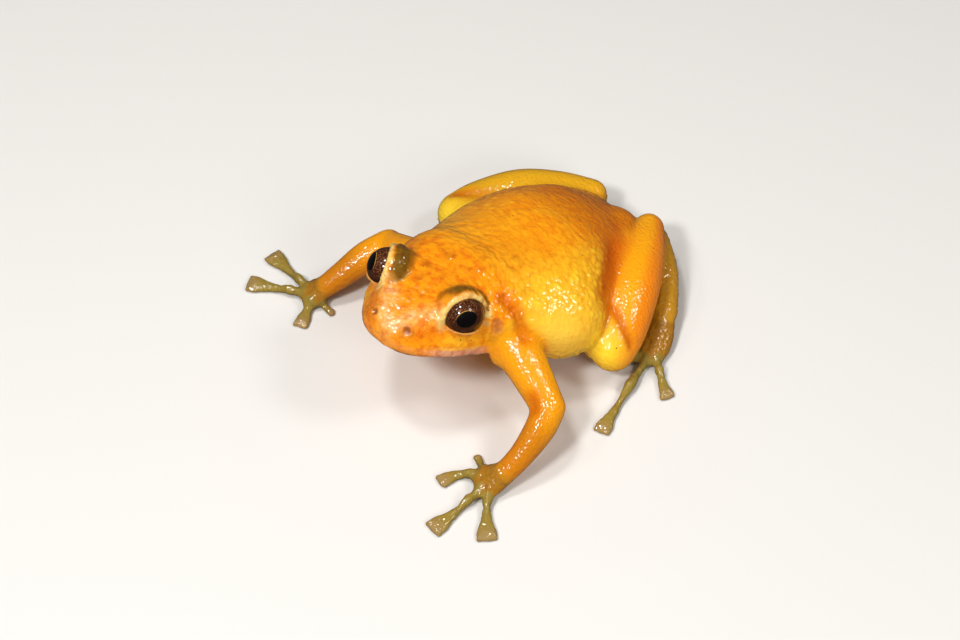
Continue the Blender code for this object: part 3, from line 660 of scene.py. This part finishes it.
farShare = 0.5 + 0.5 * ramp(-4, 4, points[:, 0])  # the right side is smoother

grain = {
    "granule": 0.90,  # spacing of the flank's granules in millimetres
    "smallGranule": 0.55,
    "ripple": 0.58,  # and of the back's ripples, which run across the body
    "stretch": 2.2,
    "wrinkle": 0.74,  # and of the short ridges on each shoulder
    "wrinkleLength": 2.0,
    "wrinkleRise": 1.6,
    "wrinkleWay": (-0.766, 0.643, 0.0),  # they run up and back over the body
    "streak": 0.85,  # and of the streaks in the colour
    "streakLength": 2.6,
    "bend": 0.40,  # how far all these lines are bent, and over what length
    "bendSize": 1.6,
    "flankHeight": 0.31,
    "backHeight": 0.10,
    "shoulderHeight": 0.46,
    "headHeight": 0.085,
    "snoutHeight": 0.14,
    "snoutGrain": 0.60,
    "snoutLine": [(4.5, 2.6, 0.95), (2.7, 4.0, 0.5), (1.4, 6.0, -0.2), (0.0, 7.3, -1.1)],
    "snoutWidth": 1.05,
    "swell": 0.12,
    "swellSize": 3.2,
}
bends = np.stack([cloud(points, grain["bendSize"], seed) for seed in (21, 22, 23)], axis=1)
warped = points + grain["bend"] * bends
granule = grainDomes(warped, grain["granule"], 3, 0.2)
granule = np.maximum(granule, 0.55 * grainDomes(warped, grain["smallGranule"], 4, 0.3))
ripple = grainDomes(warped / (grain["stretch"], 1, grain["stretch"]), grain["ripple"], 5, 0.45)
mirroredWarp = mirrored + warped - points
ridgeWay = np.array(grain["wrinkleWay"])
ridgeSide = np.array((ridgeWay[1], -ridgeWay[0], 0.0))
rows = np.stack([mirroredWarp @ ridgeWay / grain["wrinkleLength"], mirroredWarp @ ridgeSide,
                 mirroredWarp[:, 2] / grain["wrinkleRise"]], axis=1)
wrinkle = np.zeros(len(points))
for seed, share in ((7, 1.0), (8, 0.85), (9, 0.7)):
    wrinkle = np.maximum(wrinkle, share * grainDomes(rows, grain["wrinkle"], seed, 0.5, 0.8))
snout = headPart * faceLine(grain["snoutLine"], grain["snoutWidth"])
snoutTops = snout * grainDomes(points, grain["snoutGrain"], 9, 0.3)
relief = (granule * flank * farShare * grain["flankHeight"] * (1 - 0.7 * shoulder)
          + ripple * (back * grain["backHeight"] * (1 - 0.5 * shoulder) + headPart * grain["headHeight"])
          + wrinkle * shoulder * farShare * grain["shoulderHeight"])
relief += grain["swell"] * trunkPart * cloud(points, grain["swellSize"], 11)
relief += grain["snoutHeight"] * snoutTops
# Painted shade: the hollows between granules, ripples and wrinkles are coloured deeper orange
cavity = 1 - (wrinkle * shoulder + (granule * flank + ripple * (1 - flank)) * (1 - shoulder))
# Painted highlight: the tops of the granules and wrinkles are coloured paler yellow
tops = trunkPart * (granule * flank * (1 - shoulder) + 0.7 * wrinkle * shoulder)
stretch = (grain["streakLength"], 1, grain["streakLength"])
streaks = ramp(-0.2, 0.7, cloud(warped / stretch, grain["streak"], 17))
streaks *= 0.4 + 0.6 * ramp(-0.5, 0.5, cloud(points, 4.0, 19))
say("granules laid")

# Small parts of the face in eye coordinates: place, radius, rise of the rim, depth
spots = {
    "nostril": ((2.40, 6.55, -1.0), 0.50, 0.24, 0.30),
    "ear": ((9.5, -3.0, -1.8), 1.05, 0.07, 0.10),
}
nostril, ear = np.zeros(len(points)), np.zeros(len(points))
for side in (1, -1):
    place, radius, rise, depth = spots["nostril"]
    distance = np.linalg.norm(local - np.array(place) * (side, 1, 1), axis=1)
    nostril = np.maximum(nostril, ramp(1.9 * radius, 0.5 * radius, distance + 0.25 * cloud(points, 0.5, 47)))
    relief += rise * hump(distance - 1.35 * radius, 0.55 * radius) - depth * hump(distance, 0.7 * radius)
    place, radius, rise, depth = spots["ear"]
    distance = np.linalg.norm((local - np.array(place) * (side, 1, 1)) * (1, 1.2, 0.75), axis=1)
    patchy = 0.75 + 0.25 * cloud(points, 0.5, 43)
    ear = np.maximum(ear, ramp(1.25 * radius, 0.5 * radius, distance) * patchy)
    relief += rise * hump(distance - radius, 0.3) - depth * ramp(radius, 0.6 * radius, distance)

# Tendons on the back of each hand and foot, and the raised rims of the discs
handRelief = {
    "tendon": 0.20,
    "tendonWidth": 0.55,
    "uneven": 0.07,
    "discRim": 0.12,
}
tendons = np.zeros(len(points))
for limbName, specs in digits.items():
    wrist = limbs[limbName][0]
    for root, knuckle, _, _ in specs:
        line = [(wrist[0], wrist[1], wrist[2] + 1.2), (*root, 2.0), (*knuckle, 1.7)]
        tendons = np.maximum(tendons, alongLine(points, line, handRelief["tendonWidth"]))
relief += hands * (handRelief["tendon"] * tendons + handRelief["uneven"] * cloud(points, 0.5, 51))
discs, discRim = np.zeros(len(points)), np.zeros(len(points))
for spec in allDigits:
    tip = np.array([spec[2][0], spec[2][1], 0.5])
    away = np.linalg.norm(points - tip, axis=1) / (digitForm["disc"] * spec[3] + 0.3)
    discs = np.maximum(discs, ramp(1.3, 0.5, away))
    discRim = np.maximum(discRim, hump(away - 0.62, 0.10) * spec[3])
relief += handRelief["discRim"] * discRim

# Lids: granules on the dome and a bead along the rim
upperRim, lowerRim, dome, corner, inside = (np.zeros(len(points)) for _ in range(5))
ragged = 6.6 * cloud(points, 0.55, 35)
for side in (1, -1):
    radius, direction, past, upper = roundEye(local, side)
    closeTo = ramp(*lids["colourEnd"], radius)
    upperRim = np.maximum(upperRim, closeTo * upper * ramp(-3.0, -1.5, past) * ramp(11, 5, past + ragged))
    lowerRim = np.maximum(lowerRim, closeTo * (1 - upper) * ramp(-2.0, 0.0, past) * ramp(7, 4, past))
    dome = np.maximum(dome, closeTo * upper * ramp(7, 16, past + ragged) * ramp(76, 40, past)
                      * ramp(*lids["frontEnd"][side], direction[:, 1]) * ramp(-0.2, 0.3, direction[:, 2]))
    inside = np.maximum(inside, ramp(3.0, 2.9, radius) * ramp(-1.0, -3.5, past))
    offset = local * (side, 1, 1) - (head["eyeSpacing"] / 2 - 1.2, 2.45, -0.35)
    corner = np.maximum(corner, hump(np.linalg.norm(offset, axis=1), 0.40))
    relief += lids["bead"] * closeTo * hump(past - 4, 3)
relief += lids["granuleHeight"] * np.maximum(dome, upperRim) * grainDomes(points, lids["granule"], 13, 0.3)

points = points + normals * relief[:, None]
setPoints(skin.data, points)
say("skin sculpted")


def linear(hexColour):
    parts = [int(hexColour[k:k + 2], 16) / 255 for k in (1, 3, 5)]
    return tuple(c / 12.92 if c <= 0.04045 else ((c + 0.055) / 1.055) ** 2.4 for c in parts) + (1.0,)


# Adds a node with its settings, and links or values for its sockets
def addNode(tree, kind, sockets=None, **settings):
    node = tree.nodes.new("ShaderNode" + kind)
    for name, value in settings.items():
        setattr(node, name, value)
    for name, value in (sockets or {}).items():
        socket = node.inputs[name]
        if isinstance(value, bpy.types.NodeSocket):
            tree.links.new(value, socket)
        else:
            socket.default_value = value
    return node


def newMaterial(name):
    material = bpy.data.materials.new(name)
    material.use_nodes = True
    material.node_tree.nodes.clear()
    return material, material.node_tree


def storeMask(mesh, name, values):
    layer = mesh.attributes.new(name, "FLOAT", "POINT")
    layer.data.foreach_set("value", np.asarray(values, dtype=np.float32))


# Where single colours lie: a line or a point, and its reach. The first four are in eye coordinates
marks = {
    "lore": ([(6.3, 3.0, -0.9), (4.6, 4.6, -1.0), (3.3, 6.2, -1.4)], 0.8),
    "cheek": ([(6.6, 3.0, -2.6), (8.6, 0.0, -3.2), (9.8, -2.6, -3.8)], 1.3),
    "throatCorner": ([(8.4, -0.6, -7.0), (9.8, -3.0, -7.2), (10.4, -4.6, -7.4)], 1.1),
    "crown": ((-1.5, -3.0, 2.0), 5.0),
    "nape": ((2.6, -2.6, 18.4), 5.0),
    "kneeLeft": ((17.6, 5.6, 6.2), 3.2),
    "kneeRight": ((-13.0, 5.4, 5.4), 3.2),
    "hipGap": ([(14.4, 7.2, 9.6), (12.4, 10.6, 11.4), (9.4, 14.6, 11.6), (6.6, 17.6, 11.0)], 1.5),
    "foldReach": 1.6,  # in widths of the fold
    "legSide": (0.80, 0.55, 0.2),  # the way that the side of the legs with painted shade faces
}
# The pale lip lies just above the mouth's line, from below the nostrils to the corner
aboveLip = up - mouthLevel(ahead)
lip = headPart * ramp(-1.3, -0.9, aboveLip) * ramp(1.15, 0.90, aboveLip) * ramp(-3.8, -1.0, ahead)
lip *= 1 - 0.85 * ramp(3.6, 6.6, ahead)
mouthLine = headPart * hump(aboveLip + 0.85, 0.25) * ramp(-5.0, -3.8, ahead) * ramp(3.5, -0.5, ahead)
mouthLine *= ramp(-0.5, 0.3, cloud(points, 0.6, 45))
serrations = upperRim * ramp(0.25, 0.6, cloud(points, 0.42, 31))
serrations *= ramp(-1.5, -3.0, ahead + 0.6 * cloud(points, 2.0, 33))
folds = np.zeros(len(points))
for name, (places, width, rise) in face.items():
    if "Fold" in name:
        folds = np.maximum(folds, faceLine(places, marks["foldReach"] * width))
for places, width, rise in body.values():
    if rise < 0:
        folds = np.maximum(folds, alongLine(points, places, marks["foldReach"] * width))
legs = ramp(1.25, 1.05, legNear) * (1 - hands)

masks = {
    "streaks": streaks * trunkPart,
    "flank": flank,
    # Painted shade: the rear of the trunk is coloured deeper orange
    "rear": trunkPart * ramp(7, 16, points[:, 1]),
    # Painted shade: the trunk's right side is coloured deeper orange
    "farSide": trunkPart * ramp(1, -7, points[:, 0]),
    "belly": belly * trunkPart,
    "cavity": cavity * trunkPart * (1 - belly),
    "tops": tops,
    "nape": around(points, *marks["nape"]),
    # Painted shade in the gaps between the shoulders' wrinkles
    "gaps": ramp(0.05, 0.50, shoulder) * ramp(0.42, 0.05, wrinkle) * farShare,
    "head": headPart,
    "crown": headPart * around(local, *marks["crown"]) * ramp(-0.3, 0.6, cloud(points, 1.1, 41)),
    "cheek": headPart * faceLine(*marks["cheek"]),
    # Painted shade below the canthus, over the hollow of the lore
    "lore": headPart * faceLine(*marks["lore"]),
    "legs": legs,
    # Painted shade on the side of the legs that faces left and back
    "legSide": legs * ramp(0.25, 0.85, normals @ np.array(marks["legSide"])),
    "farLeg": legs * ramp(2.0, -2.0, points[:, 0]),
    "kneeEnd": np.maximum(around(points, *marks["kneeLeft"]), around(points, *marks["kneeRight"])),
    # Painted shade in the gap between the trunk and the left thigh
    "hipGap": alongLine(points, *marks["hipGap"]),
    "arms": ramp(1.25, 1.05, armNear) * (1 - hands),
    "forearms": ramp(1.2, 1.0, nearOf("forearm")) * (1 - hands) * ramp(-6, -11, points[:, 1]),
    "hands": hands,
    "digits": hands * ramp(1.6, 1.2, nearDigit),
    "tarsus": ramp(1.35, 1.1, nearOf("tarsus")),
    "discs": discs,
    # Painted shade in the folds and creases
    "folds": folds,
    # Painted shade under the corners of the jaw
    "throatCorner": headPart * faceLine(*marks["throatCorner"]),
    # The snout's pale band is partly its own cream colour and partly painted highlight, and the whitish tops
    # of its grains are painted highlights
    "snout": snout,
    "snoutTops": snoutTops,
    "lip": lip,
    "lipEdge": headPart * hump(aboveLip - 1.25, 0.18) * ramp(-2.5, -0.5, ahead) * ramp(6.0, 4.0, ahead),
    "ear": ear,
    "dome": dome,
    "upperRim": upperRim,
    "lowerRim": lowerRim,
    "mouthLine": mouthLine,
    # Painted shade on the skin that turns in behind each eyeball
    "inside": inside,
    "nostril": nostril,
    # Painted shade in the front corner of each eye, with dark serrations along the upper rim
    "dark": np.maximum(corner, serrations),
    "film": 1 - 0.7 * np.clip(folds, 0, 1),  # thinner moisture in the folds
    "coarse": np.clip(flank + shoulder, 0, 1),  # less of the finest grain where granules are
    "mottled": np.clip(headPart + 0.45 * trunkPart * (1 - belly), 0.12, 1),
}
for name, values in masks.items():
    storeMask(skin.data, name, values)

skinLook = {
    "back": "#F89E0A",
    # soft spots: colour, size in millimetres, detail, roughness, noise at none and at most, strength
    "spots": {
        "patch": ("#F8AE14", 3.2, 3.0, 0.55, 0.42, 0.66, 0.65),  # laid over the back's colour
        "mottle": ("#DC9A6C", 1.1, 4.0, 0.6, 0.45, 0.64, 0.6),  # multiplies all but the specks
    },
    # mask: colour, strength; each is laid over the ones before it
    "layers": {
        "streaks": ("#F8B21C", 0.55),
        "flank": ("#FCC61A", 0.85),
        # painted shade on the trunk's rear
        "rear": ("#C26A04", 0.85),
        "farSide": ("#E47404", 0.85),
        "belly": ("#FDD048", 0.85),
        "cavity": ("#D67604", 0.45),
        "tops": ("#FCD83C", 0.45),
        "nape": ("#E88E06", 0.6),
        "gaps": ("#B45A02", 0.6),
        "head": ("#F49408", 0.85),
        "crown": ("#C87408", 0.8),
        "cheek": ("#F9B422", 0.7),
        # painted shade below the canthus
        "lore": ("#E07406", 0.75),
        "legs": ("#F6A40C", 0.85),
        "legSide": ("#F07010", 0.6),
        "farLeg": ("#D8A61C", 0.75),
        "kneeEnd": ("#FAD634", 0.85),
        "hipGap": ("#C05804", 0.85),
        "arms": ("#EE9A08", 0.85),
        "forearms": ("#C07008", 0.8),
        "hands": ("#96681A", 0.92),
        "digits": ("#8E8038", 0.75),
        "tarsus": ("#CC9422", 0.65),
        "discs": ("#A4845A", 0.55),
        # painted shade in the folds
        "folds": ("#C05804", 0.8),
        "throatCorner": ("#C8500E", 0.85),
        # the snout's band is partly painted highlight, its grain tops wholly
        "snout": ("#EBA650", 0.7),
        "snoutTops": ("#F8D8A0", 0.75),
        "lip": ("#E8A682", 0.9),
        "lipEdge": ("#FFC860", 0.6),
        "ear": ("#A86A40", 0.8),
        "dome": ("#5E4A0A", 0.9),
        "upperRim": ("#EBCB76", 0.9),
        "lowerRim": ("#D9A45C", 0.7),
        "mouthLine": ("#6E2008", 0.75),
        # painted shade behind the eyeballs
        "inside": ("#2E160A", 0.95),
        "nostril": ("#8C4418", 0.85),
        # painted shade in the eyes' front corners, and dark serrations
        "dark": ("#33160A", 0.85),
    },
    "roughness": 0.45,
    "specular": 0.10,
    "filmRoughness": 0.05,
    "filmIor": 1.55,  # above water's 1.33, for a stronger shine
    "glow": 0.12,  # share of the light that passes through the upper skin
    "glowDepth": 0.6,  # millimetres
    "glowColours": (1.0, 0.40, 0.10),
    "fineGrain": 0.40,  # millimetres between the finest grains, which break up the wet shine
    "grainHeight": 0.12,
    "grainOnGranules": 0.2,
    "speckSpacing": 2.6,  # millimetres
    "speckSize": 0.05,  # share of the spacing
    "speckStrength": 0.8,
    "speck": "#3A2208",
}


# Wet frog skin: soft and glowing below, with a clear film of moisture on top
def wetSkin():
    material, tree = newMaterial("wetSkin")
    place = addNode(tree, "TexCoord").outputs["Object"]
    spotShares = {}
    for name, (_, size, detail, rough, low, high, strength) in skinLook["spots"].items():
        noise = addNode(tree, "TexNoise", {
            "Vector": place, "Scale": 1 / (size * mm), "Detail": detail, "Roughness": rough})
        spotShares[name] = addNode(tree, "MapRange", {
            "Value": noise.outputs["Fac"], "From Min": low, "From Max": high, "To Max": strength})
    overlays = [(spotShares["patch"], skinLook["spots"]["patch"][0], "MIX")]
    for name, (colour, strength) in skinLook["layers"].items():
        mask = addNode(tree, "Attribute", attribute_name=name).outputs["Fac"]
        share = addNode(tree, "Math", {0: mask, 1: strength}, operation="MULTIPLY")
        overlays.append((share, colour, "MIX"))
    mottled = addNode(tree, "Attribute", attribute_name="mottled").outputs["Fac"]
    share = addNode(tree, "Math", {0: spotShares["mottle"].outputs[0], 1: mottled}, operation="MULTIPLY")
    overlays.append((share, skinLook["spots"]["mottle"][0], "MULTIPLY"))
    specks = addNode(tree, "TexVoronoi", {"Vector": place, "Scale": 1 / (skinLook["speckSpacing"] * mm)})
    share = addNode(tree, "MapRange", {
        "Value": specks.outputs["Distance"], "From Min": skinLook["speckSize"],
        "From Max": 0.6 * skinLook["speckSize"], "To Max": skinLook["speckStrength"]})
    overlays.append((share, skinLook["speck"], "MIX"))
    base = linear(skinLook["back"])
    for share, colour, blend in overlays:
        sockets = {"Factor": share.outputs[0], 6: base, 7: linear(colour)}
        base = addNode(tree, "Mix", sockets, data_type="RGBA", blend_type=blend).outputs[2]

    grains = addNode(tree, "TexVoronoi", {"Vector": place, "Scale": 1 / (skinLook["fineGrain"] * mm)},
                     feature="SMOOTH_F1")
    domes = addNode(tree, "Math", {0: grains.outputs["Distance"], 1: 2.0}, operation="POWER")
    coarse = addNode(tree, "Attribute", attribute_name="coarse").outputs["Fac"]
    share = addNode(tree, "MapRange", {"Value": coarse, "To Min": 1.0, "To Max": skinLook["grainOnGranules"]})
    height = addNode(tree, "Math", {0: domes.outputs[0], 1: share.outputs[0]}, operation="MULTIPLY")
    sockets = {"Height": height.outputs[0], "Strength": 1.0, "Distance": skinLook["grainHeight"] * mm}
    bump = addNode(tree, "Bump", sockets, invert=True)
    film = addNode(tree, "Attribute", attribute_name="film").outputs["Fac"]
    shader = addNode(tree, "BsdfPrincipled", {
        "Base Color": base, "Roughness": skinLook["roughness"], "Specular IOR Level": skinLook["specular"],
        "Coat Weight": film, "Coat Roughness": skinLook["filmRoughness"], "Coat IOR": skinLook["filmIor"],
        "Subsurface Weight": skinLook["glow"], "Subsurface Radius": skinLook["glowColours"],
        "Subsurface Scale": skinLook["glowDepth"] * mm, "Normal": bump.outputs[0],
        "Coat Normal": bump.outputs[0]})
    addNode(tree, "OutputMaterial", {"Surface": shader.outputs[0]})
    return material


# Directions of the pupil and of its long side in eye coordinates, outwards first
eyeLook = {
    "axis": (0.64, 0.60, 0.47),
    "longSide": (0.575, -0.73, 0.37),
    "pupilWidth": 29.0,  # degrees from its middle
    "pupilHeight": 22.0,
    "pupil": "#050303",
    "cornea": 0.06,  # millimetres that the clear front bulges
    "corneaReach": 38.0,  # degrees
    "iris": "#34160A",
    "flecks": "#B0703E",
    "fleckSize": 0.22,  # millimetres
    "gold": "#D8A048",
    # dark outer band: partly the iris's own rim, partly painted shade at the lids
    "edge": "#120604",
    # where each share starts and is full, then its least and most
    "ranges": {
        "flecks": (0.50, 0.68, 0.0, 0.9),
        "upper": (-0.1, 0.5, 0.12, 1.0),  # flecks are stronger above the pupil, partly the iris's own pattern and partly painted light on its upper half
        "edge": (52.0, 70.0, 0.0, 1.0),  # degrees from the pupil's middle; a dark band, partly the iris's own rim and partly painted shade at the lids
        "gold": (1.09, 1.05, 0.0, 1.0),  # pupil radii
        "goldTop": (0.16, 0.34, 0.0, 0.8),
        "pupil": (1.03, 0.98, 0.0, 1.0),
    },
    "roughness": 0.45,
    "specular": 0.1,
    "wetRoughness": 0.02,
    "ior": 1.38,  # of the cornea
}


# Eyeball: brown iris with copper flecks, black pupil with a gold line over it, clear wet front
def eyeBall():
    material, tree = newMaterial("eyeBall")
    place = addNode(tree, "TexCoord").outputs["Object"]
    pupil, above, outer = (addNode(tree, "Attribute", attribute_name=name).outputs["Fac"]
                           for name in ("pupil", "above", "outer"))
    flecks = addNode(tree, "TexNoise", {
        "Vector": place, "Scale": 1 / (eyeLook["fleckSize"] * mm), "Detail": 4.0, "Roughness": 0.7})
    measures = {"flecks": flecks.outputs["Fac"], "upper": above, "edge": outer, "gold": pupil,
                "goldTop": above, "pupil": pupil}
    shares = {}
    for name, value in measures.items():
        start, stop, least, most = eyeLook["ranges"][name]
        share = addNode(tree, "MapRange", {
            "Value": value, "From Min": start, "From Max": stop, "To Min": least, "To Max": most})
        shares[name] = share.outputs[0]
    for name, other in (("flecks", "upper"), ("gold", "goldTop")):
        product = addNode(tree, "Math", {0: shares[name], 1: shares[other]}, operation="MULTIPLY")
        shares[name] = product.outputs[0]
    base = linear(eyeLook["iris"])
    for name in ("flecks", "edge", "gold", "pupil"):
        sockets = {"Factor": shares[name], 6: base, 7: linear(eyeLook[name])}
        base = addNode(tree, "Mix", sockets, data_type="RGBA").outputs[2]
    shader = addNode(tree, "BsdfPrincipled", {
        "Base Color": base, "Roughness": eyeLook["roughness"], "IOR": eyeLook["ior"],
        "Specular IOR Level": eyeLook["specular"], "Coat Weight": 1.0,
        "Coat Roughness": eyeLook["wetRoughness"], "Coat IOR": eyeLook["ior"]})
    addNode(tree, "OutputMaterial", {"Surface": shader.outputs[0]})
    return material


# Stores where each point of an eyeball lies against its pupil
def markEye(eye, side):
    points = pointsOf(eye.data)
    direction = inHead(points) * (side, 1, 1) - (head["eyeSpacing"] / 2, 0, 0)
    direction /= head["eyeRadius"]
    axis = np.array(eyeLook["axis"]) / np.linalg.norm(eyeLook["axis"])
    across = np.array(eyeLook["longSide"]) - axis * (axis @ np.array(eyeLook["longSide"]))
    across /= np.linalg.norm(across)
    over = np.cross(across, axis)
    over *= np.sign(over[2])
    outer = np.degrees(np.arccos(np.clip(direction @ axis, -1, 1)))
    sidePart, upPart = direction @ across, direction @ over
    total = np.maximum(np.hypot(sidePart, upPart), 1e-6)
    wide, tall = eyeLook["pupilWidth"], eyeLook["pupilHeight"]
    pupil = np.hypot(sidePart / total * outer / wide, upPart / total * outer / tall)
    bulge = eyeLook["cornea"] * hump(outer, eyeLook["corneaReach"]) / head["eyeRadius"]
    setPoints(eye.data, points + (points - np.array(eyeCentre(side))) * bulge[:, None])
    for name, values in (("pupil", pupil), ("above", upPart), ("outer", outer)):
        storeMask(eye.data, name, values)


low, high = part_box("eye_left")
shift = (low + high) / 2 - eyeCentre(1) * mm


def intoFrame(piece):
    placed = pointsOf(piece.data) * mm + np.array(shift)
    placed[:, 2] = np.maximum(placed[:, 2], 0)  # nothing sinks into the floor
    setPoints(piece.data, placed)
    piece.data.shade_smooth()


intoFrame(skin)
skin.data.materials.append(wetSkin())
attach(skin, "root")
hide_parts(*[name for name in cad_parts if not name.startswith("eye")])

eyeMaterial = eyeBall()
for side, word in ((1, "Left"), (-1, "Right")):
    eye = ballForm("eye" + word, eyeCentre(side), head["eyeRadius"], 144, 96)
    markEye(eye, side)
    intoFrame(eye)
    eye.data.materials.append(eyeMaterial)
    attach(eye, "root")
    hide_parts("eye_" + word.lower())
say("pieces placed")


studio = {
    "azimuth": 50.0,
    "elevation": 52.0,
    "distance": 355.0,
    "lens": 100.0,
    "floor": "#DFDCD7",
    "floorRoughness": 0.7,
    "floorReach": 2.0,  # metres to each side
    "sky": "#F4F3F1",
    "skyStrength": 0.07,
    "lampTarget": 6.0,  # millimetres above the floor
    # name: azimuth, elevation, distance and size in millimetres, watts, whether wet skin mirrors it
    "lamps": {
        "main": (12.0, 54.0, 420.0, 60.0, 0.90, True),
        "over": (-50.0, 76.0, 420.0, 60.0, 0.50, True),
        "back": (131.0, 53.0, 420.0, 90.0, 0.38, True),
        "spark": (-27.0, 56.0, 420.0, 32.0, 0.12, True),
        "side": (80.0, 36.0, 420.0, 120.0, 0.46, False),
        "fill": (20.0, 70.0, 420.0, 300.0, 0.32, False),
    },
}
bpy.context.scene.view_settings.view_transform = "Standard"  # keeps the strong yellow of the skin


def fromAngles(azimuth, elevation):
    a, e = math.radians(azimuth), math.radians(elevation)
    return Vector((math.sin(a) * math.cos(e), -math.cos(a) * math.cos(e), math.sin(e)))


floorMesh = bpy.data.meshes.new("floor")
far = studio["floorReach"]
floorMesh.from_pydata([(-far, -far, 0), (far, -far, 0), (far, far, 0), (-far, far, 0)], [], [(0, 1, 2, 3)])
floor = addObject("floor", floorMesh)
floorMaterial, tree = newMaterial("paleFloor")
floorShader = addNode(tree, "BsdfPrincipled", {
    "Base Color": linear(studio["floor"]), "Roughness": studio["floorRoughness"]})
addNode(tree, "OutputMaterial", {"Surface": floorShader.outputs[0]})
floorMesh.materials.append(floorMaterial)
floor.visible_glossy = False  # keeps a white haze off the wet skin

world = bpy.data.worlds.new("studio")
bpy.context.scene.world = world
world.use_nodes = True
world.node_tree.nodes["Background"].inputs[0].default_value = linear(studio["sky"])
world.node_tree.nodes["Background"].inputs[1].default_value = studio["skyStrength"]

target = Vector((0, 0, studio["lampTarget"] * mm))
for name, (azimuth, elevation, distance, size, watts, mirrored) in studio["lamps"].items():
    lamp = addObject(name, bpy.data.lights.new(name, "AREA"))
    lamp.data.size = size * mm
    lamp.data.energy = watts
    lamp.visible_glossy = mirrored
    way = fromAngles(azimuth, elevation)
    lamp.location = target + way * distance * mm
    lamp.rotation_euler = way.to_track_quat("Z", "Y").to_euler()

way = fromAngles(studio["azimuth"], studio["elevation"])
camera = addObject("camera", bpy.data.cameras.new("camera"))
camera.data.lens = studio["lens"]
camera.data.sensor_width = 36.0
camera.data.clip_start = 0.01
camera.location = shift + way * studio["distance"] * mm
camera.rotation_euler = way.to_track_quat("Z", "Y").to_euler()
bpy.context.scene.camera = camera

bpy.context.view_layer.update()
say("studio ready")
